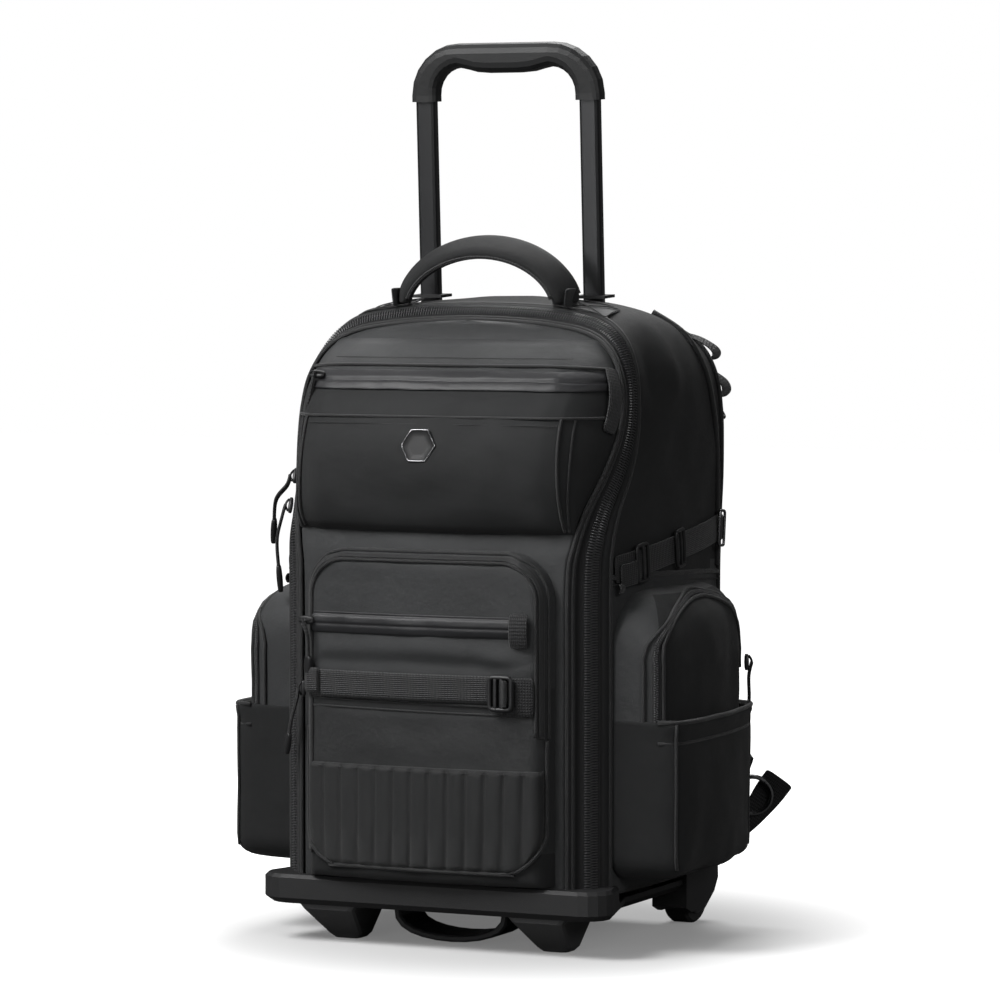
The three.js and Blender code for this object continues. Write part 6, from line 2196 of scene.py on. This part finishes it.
@dataclass
class HarnessStrap:
    """One padded shoulder strap with its webbing, load lifter, ring webbing and tab."""

    side: int
    title: str
    width: float = 0.062
    thick: float = 0.012
    ring_x: float = 0.182
    ring_z: float = 0.112
    ring_radius: float = 0.017
    # across and height as shares, distance off the pad in strap thicknesses, width as a share
    rows: tuple[tuple[float, ...], ...] = (
        (0.34, 0.925, 1.05, 0.9), (0.4, 0.895, 1.75, 1.0), (0.47, 0.85, 2.2, 1.05), (0.55, 0.78, 1.9, 1.08),
        (0.62, 0.69, 1.55, 1.05), (0.66, 0.59, 1.35, 0.98), (0.67, 0.49, 1.35, 0.9), (0.68, 0.39, 1.6, 0.8),
        (0.71, 0.31, 2.1, 0.66))

    def spine(self, steps: int = 5) -> tuple[list[Vector], list[Vector], list[float]]:
        """Draw the strap's middle line.

        Args:
            steps: how many steps it takes between two rows.

        Returns:
            Its points, the direction that it faces, and its width at each.
        """
        knots = [(self.side * a * FORM.half, FORM.depth + off * self.thick, FORM.height_at(rise))
                 for a, rise, off, _ in self.rows]
        path = smooth_path(knots, steps)
        widths = [p.x * self.width for p in smooth_path([(w, 0.0, 0.0) for *_, w in self.rows], steps)]
        normals = []
        for i in range(len(path)):
            along = heading(path, i)
            wide = (Vector((1, 0, 0)) - along * along.x).normalized()
            normal = along.cross(wide)
            normals.append(normal if normal.y > 0 else -normal)
        return path, normals, widths

    def pad(self) -> bpy.types.Object:
        """Sew the padded strap, crowned between its edges.

        Returns:
            The pad's object.
        """
        piece = Piece("shoulder_pad_" + self.title, (SPACER, CLOTH), Slot.PADDING)
        path, normals, widths = self.spine(7)
        rings = []
        for i, at in enumerate(path):
            along = heading(path, i)
            across = along.cross(normals[i]).normalized()
            end = ease(0.0, 0.04, i / (len(path) - 1)) * ease(0.0, 0.04, 1 - i / (len(path) - 1))
            ring = []
            for wide, thick in cushion(28, 0.55, 0.75):
                u = widths[i] / 2 * wide
                v = self.thick / 2 * thick * (0.55 + 0.45 * end)
                v *= 1.0 + 0.1 * noise.noise(at * 18.0 + Vector((u * 20, 0, 0)))
                ring.append(at + across * u + normals[i] * v)
            rings.append(ring)
        piece.grid(rings, round_across=True)
        piece.cap(rings[0], flip=True)
        piece.cap(rings[-1])
        pad = piece.build(levels=1)
        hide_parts("shoulder_strap_" + self.title)
        return pad

    def webbing(self) -> bpy.types.Object:
        """Lay the strap's sewn webbing, its edge binding and the adjuster down to the ring.

        Returns:
            The webbing's object.
        """
        piece = Piece("harness_webbing_run_" + self.title, (WEBBING, PIPING), Slot.WEBBING)
        path, normals, widths = self.spine(6)
        piece.ribbon([p + n * (self.thick / 2 + 0.0004) for p, n in zip(path[3:], normals[3:])], 0.025,
                     0.0016, normals[3:])
        for edge in (-1, 1):
            line = []
            for i, at in enumerate(path):
                along = heading(path, i)
                line.append(at + along.cross(normals[i]).normalized() * (edge * widths[i] / 2))
            piece.tube(line, 0.0021, 1)
        last = path[-1]
        knots = (tuple(last + Vector((0, 0, 0.004))),
                 (self.side * 0.132, FORM.depth + 0.03, self.ring_z + 0.054),
                 (self.side * 0.16, FORM.depth + 0.018, self.ring_z + 0.032),
                 (self.side * (self.ring_x - 0.006), FORM.depth + 0.009,
                  self.ring_z + self.ring_radius + 0.004))
        run = smooth_path(knots, 8)
        turned = []
        for i in range(len(run)):
            share = i / (len(run) - 1)
            along = heading(run, i)
            wide = Vector((0, 0, 1)).lerp(Vector((float(self.side), 0, 0)), 1 - share)
            wide = (wide - along * along.dot(wide)).normalized()
            turned.append(along.cross(wide))
        piece.ribbon(run, 0.025, 0.0016, turned)
        webbing = piece.build()
        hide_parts("harness_webbing_" + self.title)
        return webbing

    def anchor(self) -> bpy.types.Object:
        """Sew the tab that holds the ring, and the tab that hangs from it.

        Returns:
            The tabs' object.
        """
        piece = Piece("ring_anchor_" + self.title, (WEBBING, PIPING), Slot.WEBBING)
        start = Vector((self.side * 0.134, FORM.depth + 0.0021, self.ring_z - 0.011))
        end = Vector((self.side * (self.ring_x - self.ring_radius + 0.0006), FORM.depth + 0.0026,
                      self.ring_z - 0.005))
        path = [start.lerp(end, share) for share in spread(0.0, 1.0, 10)]
        piece.ribbon(path, 0.024, 0.003, Vector((0, 1, 0)), swell=lambda share: 1.0 - 0.34 * share)
        for level in (-0.3, 0.3):
            row = [p + Vector((0, 0.0018, level * 0.018)) for p in path[1:-2]]
            piece.tube(row, 0.0006, 1, 6)
        knots = ((0.16, 0.2665, 0.07), (0.176, 0.27, 0.088), (0.19, 0.2725, 0.108), (0.2055, 0.27, 0.1275))
        tail = smooth_path([(self.side * x, y, z) for x, y, z in knots], 6)
        piece.ribbon(tail, 0.028, 0.0022, Vector((0.35 * self.side, -1.0, 0.0)).normalized(),
                     swell=lambda share: 0.45 + 0.55 * ease(0.0, 0.85, share))
        anchor = piece.build(levels=1)
        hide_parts("harness_anchor_" + self.title)
        return anchor

    def lifter(self) -> bpy.types.Object:
        """Lay the load lifter's folded webbing at the bag's upper rear corner, with its two frames.

        Returns:
            The lifter's object.
        """
        piece = Piece("load_lifter_" + self.title, (WEBBING, HARD_CLIP), Slot.WEBBING)
        loops = (((0.112, 0.252, 0.516), (0.128, 0.258, 0.511), (0.14, 0.264, 0.503), (0.1435, 0.266, 0.4965),
                  (0.138, 0.264, 0.4925), (0.126, 0.261, 0.494)),
                 ((0.124, 0.256, 0.486), (0.138, 0.261, 0.482), (0.15, 0.264, 0.474), (0.1535, 0.265, 0.4655),
                  (0.148, 0.264, 0.46), (0.138, 0.262, 0.462)))
        for loop in loops:
            knots = [(self.side * (x + 0.004), y - 0.003, z) for x, y, z in loop]
            path = smooth_path(knots, 6)
            normals = []
            for i in range(len(path)):
                along = heading(path, i)
                normals.append(along.cross(Vector((0.0, 1.0, 0.0))).normalized())
            piece.ribbon(path, 0.022, 0.0018, normals)
        for x, y, z in ((0.133, 0.262, 0.48), (0.147, 0.262, 0.448)):
            LadderLock(0.02, 0.026, 0.0019, (-0.2, 0.35)).add(
                piece, Vector((self.side * x, y, z)), Vector((0.55 * self.side, 0.0, -0.83)),
                Vector((0.0, 1.0, 0.0)), 1)
        return piece.build(levels=1)

    def dress(self) -> list[bpy.types.Object]:
        """Build the strap's pieces."""
        return [self.pad(), self.webbing(), self.anchor(), self.lifter()]


@dataclass
class FrontBuckle:
    """The frame on the front webbing and the webbing's folded end behind it."""

    pocket: LowerPocket

    def lock(self) -> bpy.types.Object:
        """Mould the frame.

        Returns:
            The frame's object.
        """
        piece = Piece("front_frame", (HARD_CLIP, WEBBING), Slot.PLASTIC)
        across, z = 0.665, 0.2215
        centre = self.pocket.on(across, z, 0.0058)
        LadderLock(0.024, 0.031, 0.0021, (-0.45, 0.1)).add(piece, centre, Vector((1, 0, 0)),
                                                           Vector((0, 0, 1)))
        fold = [self.pocket.on(0.7 + 0.02 * math.cos(k), z, 0.007 + 0.0022 * math.sin(k))
                for k in spread(-0.6, math.pi, 8)]
        piece.ribbon(fold, 0.0235, 0.0015, Vector((0, -1, 0)), 1)
        lock = piece.build(levels=1)
        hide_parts("front_buckle")
        return lock

    def dress(self) -> list[bpy.types.Object]:
        """Build the buckle's piece."""
        return [self.lock()]


@dataclass
class Hardware:
    """The hard parts that keep their shape from the frame and get their finishes here."""

    nodes: dict[str, bpy.types.Object]
    finishes: tuple[tuple[str, Finish], ...] = (
        ("base_tray", MOULDED), ("bottom_grip", MOULDED), ("foot_", FOOT_PLASTIC),
        ("wheel_housing_", MOULDED),
        ("wheel_left", TYRE), ("wheel_right", TYRE), ("fixed_tube_", TUBE), ("sliding_tube_", TUBE),
        ("grip", GRIP_PLASTIC), ("tube_bezel_", MOULDED), ("harness_ring_", PLATED))

    def finish(self) -> int:
        """Give every hard part its finish.

        Returns:
            How many parts were finished.
        """
        done = 0
        for name, node in self.nodes.items():
            for start, finish in self.finishes:
                if name.startswith(start):
                    node.data.materials.clear()
                    node.data.materials.append(finish.build())
                    done += 1
                    break
        return done

    def hubs(self) -> list[bpy.types.Object]:
        """Mould a hub disc with spokes for each wheel.

        Returns:
            The hubs' objects.
        """
        made = []
        points = 40
        for _, title in SIDES:
            low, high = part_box("wheel_" + title)
            centre = (Vector(low) + Vector(high)) / 2 - Vector((0.0, SHIFT.value, 0.0))
            piece = Piece("wheel_hub_" + title, (HARD_CLIP,), Slot.PLASTIC)
            for face in (-1, 1):
                rings = []
                for radius, out in ((0.02, 0.0001), (0.0195, 0.0008), (0.015, 0.0008), (0.014, 0.0001),
                                    (0.0085, 0.0001), (0.0078, 0.0008), (0.006, 0.0008)):
                    x = centre.x + face * (high[0] - centre.x + out)
                    rings.append([Vector((x, centre.y + radius * math.cos(2 * math.pi * i / points),
                                          centre.z + radius * math.sin(2 * math.pi * i / points)))
                                  for i in range(points)])
                piece.grid(rings, round_across=True, flip=face < 0)
            made.append(piece.build(body="wheel_" + title))
        return made

    def dress(self) -> list[bpy.types.Object]:
        """Finish the hard parts and build the hubs."""
        self.finish()
        return self.hubs()


@dataclass
class Studio:
    """The pale floor, the soft lights and the camera at the photograph's place."""

    floor_half: float = 9.0
    floor_tone: float = 0.5
    floor_bounce: float = 0.1
    floor_glow: float = 0.15
    shade_from: float = 0.16
    shade_to: float = 0.46
    room_light: float = 0.1
    # name, place, side of its square and power in watts
    lights: tuple[tuple[str, tuple[float, float, float], float, float], ...] = (
        ("key_softbox", (-0.8, -1.25, 1.75), 0.95, 58.0), ("side_softbox", (2.9, -1.8, 1.6), 0.9, 30.0),
        ("front_fill", (-0.4, -3.3, 0.5), 1.2, 24.0), ("rim_softbox", (-0.4, 1.6, 2.6), 1.4, 60.0))
    camera_at: tuple[float, float, float] = (1.7422, -3.7354, 0.596)
    camera_pitch: float = 90.0 - 3.107
    camera_turn: float = 25.0
    lens: float = 172.44

    def floor(self) -> bpy.types.Object:
        """Lay the floor.

        Returns:
            The floor's object.
        """
        mesh = bpy.data.meshes.new("studio_floor")
        reach = self.floor_half
        mesh.from_pydata([(-reach, -reach, 0), (reach, -reach, 0), (reach, reach, 0), (-reach, reach, 0)], [],
                         [(0, 1, 2, 3)])
        material = bpy.data.materials.new("pale_floor")
        material.use_nodes = True
        material.node_tree.nodes.clear()
        sketch = NodeSketch(material.node_tree)
        shader = sketch.add("BsdfPrincipled", Roughness=0.9)
        shader.inputs["Specular IOR Level"].default_value = 0.0
        shader.inputs["Emission Color"].default_value = (1.0, 1.0, 1.0, 1.0)
        seen = sketch.add("LightPath").outputs["Is Camera Ray"]
        tones = [(tone, tone, tone, 1.0) for tone in (self.floor_bounce, self.floor_tone)]
        sketch.set(shader, "Base Color", sketch.mix(seen, *tones))
        place = sketch.add("VectorMath", {"operation": "LENGTH"},
                           Vector=sketch.add("TexCoord").outputs["Object"])
        far = sketch.add("MapRange", {"interpolation_type": "SMOOTHSTEP"}, Value=place.outputs["Value"])
        for key, value in (("From Min", self.shade_from), ("From Max", self.shade_to),
                           ("To Min", self.floor_glow), ("To Max", 1.0)):
            far.inputs[key].default_value = value
        sketch.set(shader, "Emission Strength", sketch.math("MULTIPLY", seen, far.outputs["Result"]))
        sketch.set(sketch.add("OutputMaterial"), "Surface", shader.outputs[0])
        mesh.materials.append(material)
        floor = bpy.data.objects.new("studio_floor", mesh)
        bpy.context.scene.collection.objects.link(floor)
        return floor

    def light(self, name: str, at: tuple[float, float, float], size: float, power: float) -> None:
        """Hang a soft light that faces the bag's middle.

        Args:
            name: the light's name.
            at: its place.
            size: the side of its square.
            power: its power in watts.
        """
        data = bpy.data.lights.new(name, "AREA")
        data.size = size
        data.energy = power
        lamp = bpy.data.objects.new(name, data)
        lamp.location = at
        lamp.rotation_euler = (Vector((0.0, 0.0, 0.35)) - Vector(at)).to_track_quat("-Z", "Y").to_euler()
        bpy.context.scene.collection.objects.link(lamp)

    def set_up(self) -> None:
        """Build the studio and place the camera."""
        self.floor()
        world = bpy.data.worlds.new("white_room")
        bpy.context.scene.world = world
        world.use_nodes = True
        sketch = NodeSketch(world.node_tree)
        seen = sketch.add("LightPath").outputs["Is Camera Ray"]
        background = world.node_tree.nodes["Background"]
        background.inputs["Color"].default_value = (1.0, 1.0, 1.0, 1.0)
        strength = sketch.math("MULTIPLY", seen, 1.0 - self.room_light)
        sketch.set(background, "Strength", sketch.math("ADD", strength, self.room_light))
        for name, at, size, power in self.lights:
            self.light(name, at, size, power)
        data = bpy.data.cameras.new("photo_camera")
        data.lens = self.lens
        data.sensor_width = 36.0
        data.clip_end = 60.0
        camera = bpy.data.objects.new("photo_camera", data)
        camera.location = self.camera_at
        camera.rotation_euler = (math.radians(self.camera_pitch), 0.0, math.radians(self.camera_turn))
        bpy.context.scene.collection.objects.link(camera)
        bpy.context.scene.camera = camera
        bpy.context.scene.view_settings.view_transform = "Standard"
        bpy.context.scene.view_settings.look = "None"


def main() -> None:
    """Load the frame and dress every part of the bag."""
    logging.basicConfig(level=logging.INFO, format="%(name)s: %(message)s")
    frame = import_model()
    low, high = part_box("wheel_left")
    SHIFT.value = (low[1] + high[1]) / 2 - 0.242
    Studio().set_up()
    pocket = LowerPocket()
    assemblies = [MainBody(), Door(), MainZip(), UpperPouch(), pocket, FrontBuckle(pocket)]
    for side, title in SIDES:
        assemblies.append(SidePocket(side=side, title=title))
        assemblies.append(SidePocket(side=side, title=title, arch=True))
        assemblies.append(SideStrap(side=side, title=title))
        assemblies.append(HarnessStrap(side=side, title=title))
    assemblies += [GrabHandle(), Hardware(frame["nodes"])]
    for assembly in assemblies:
        for piece in assembly.dress():
            LOG.info("%s built %s with %d faces", type(assembly).__name__, piece.name,
                     len(piece.data.polygons))


if __name__ == "__main__":
    main()
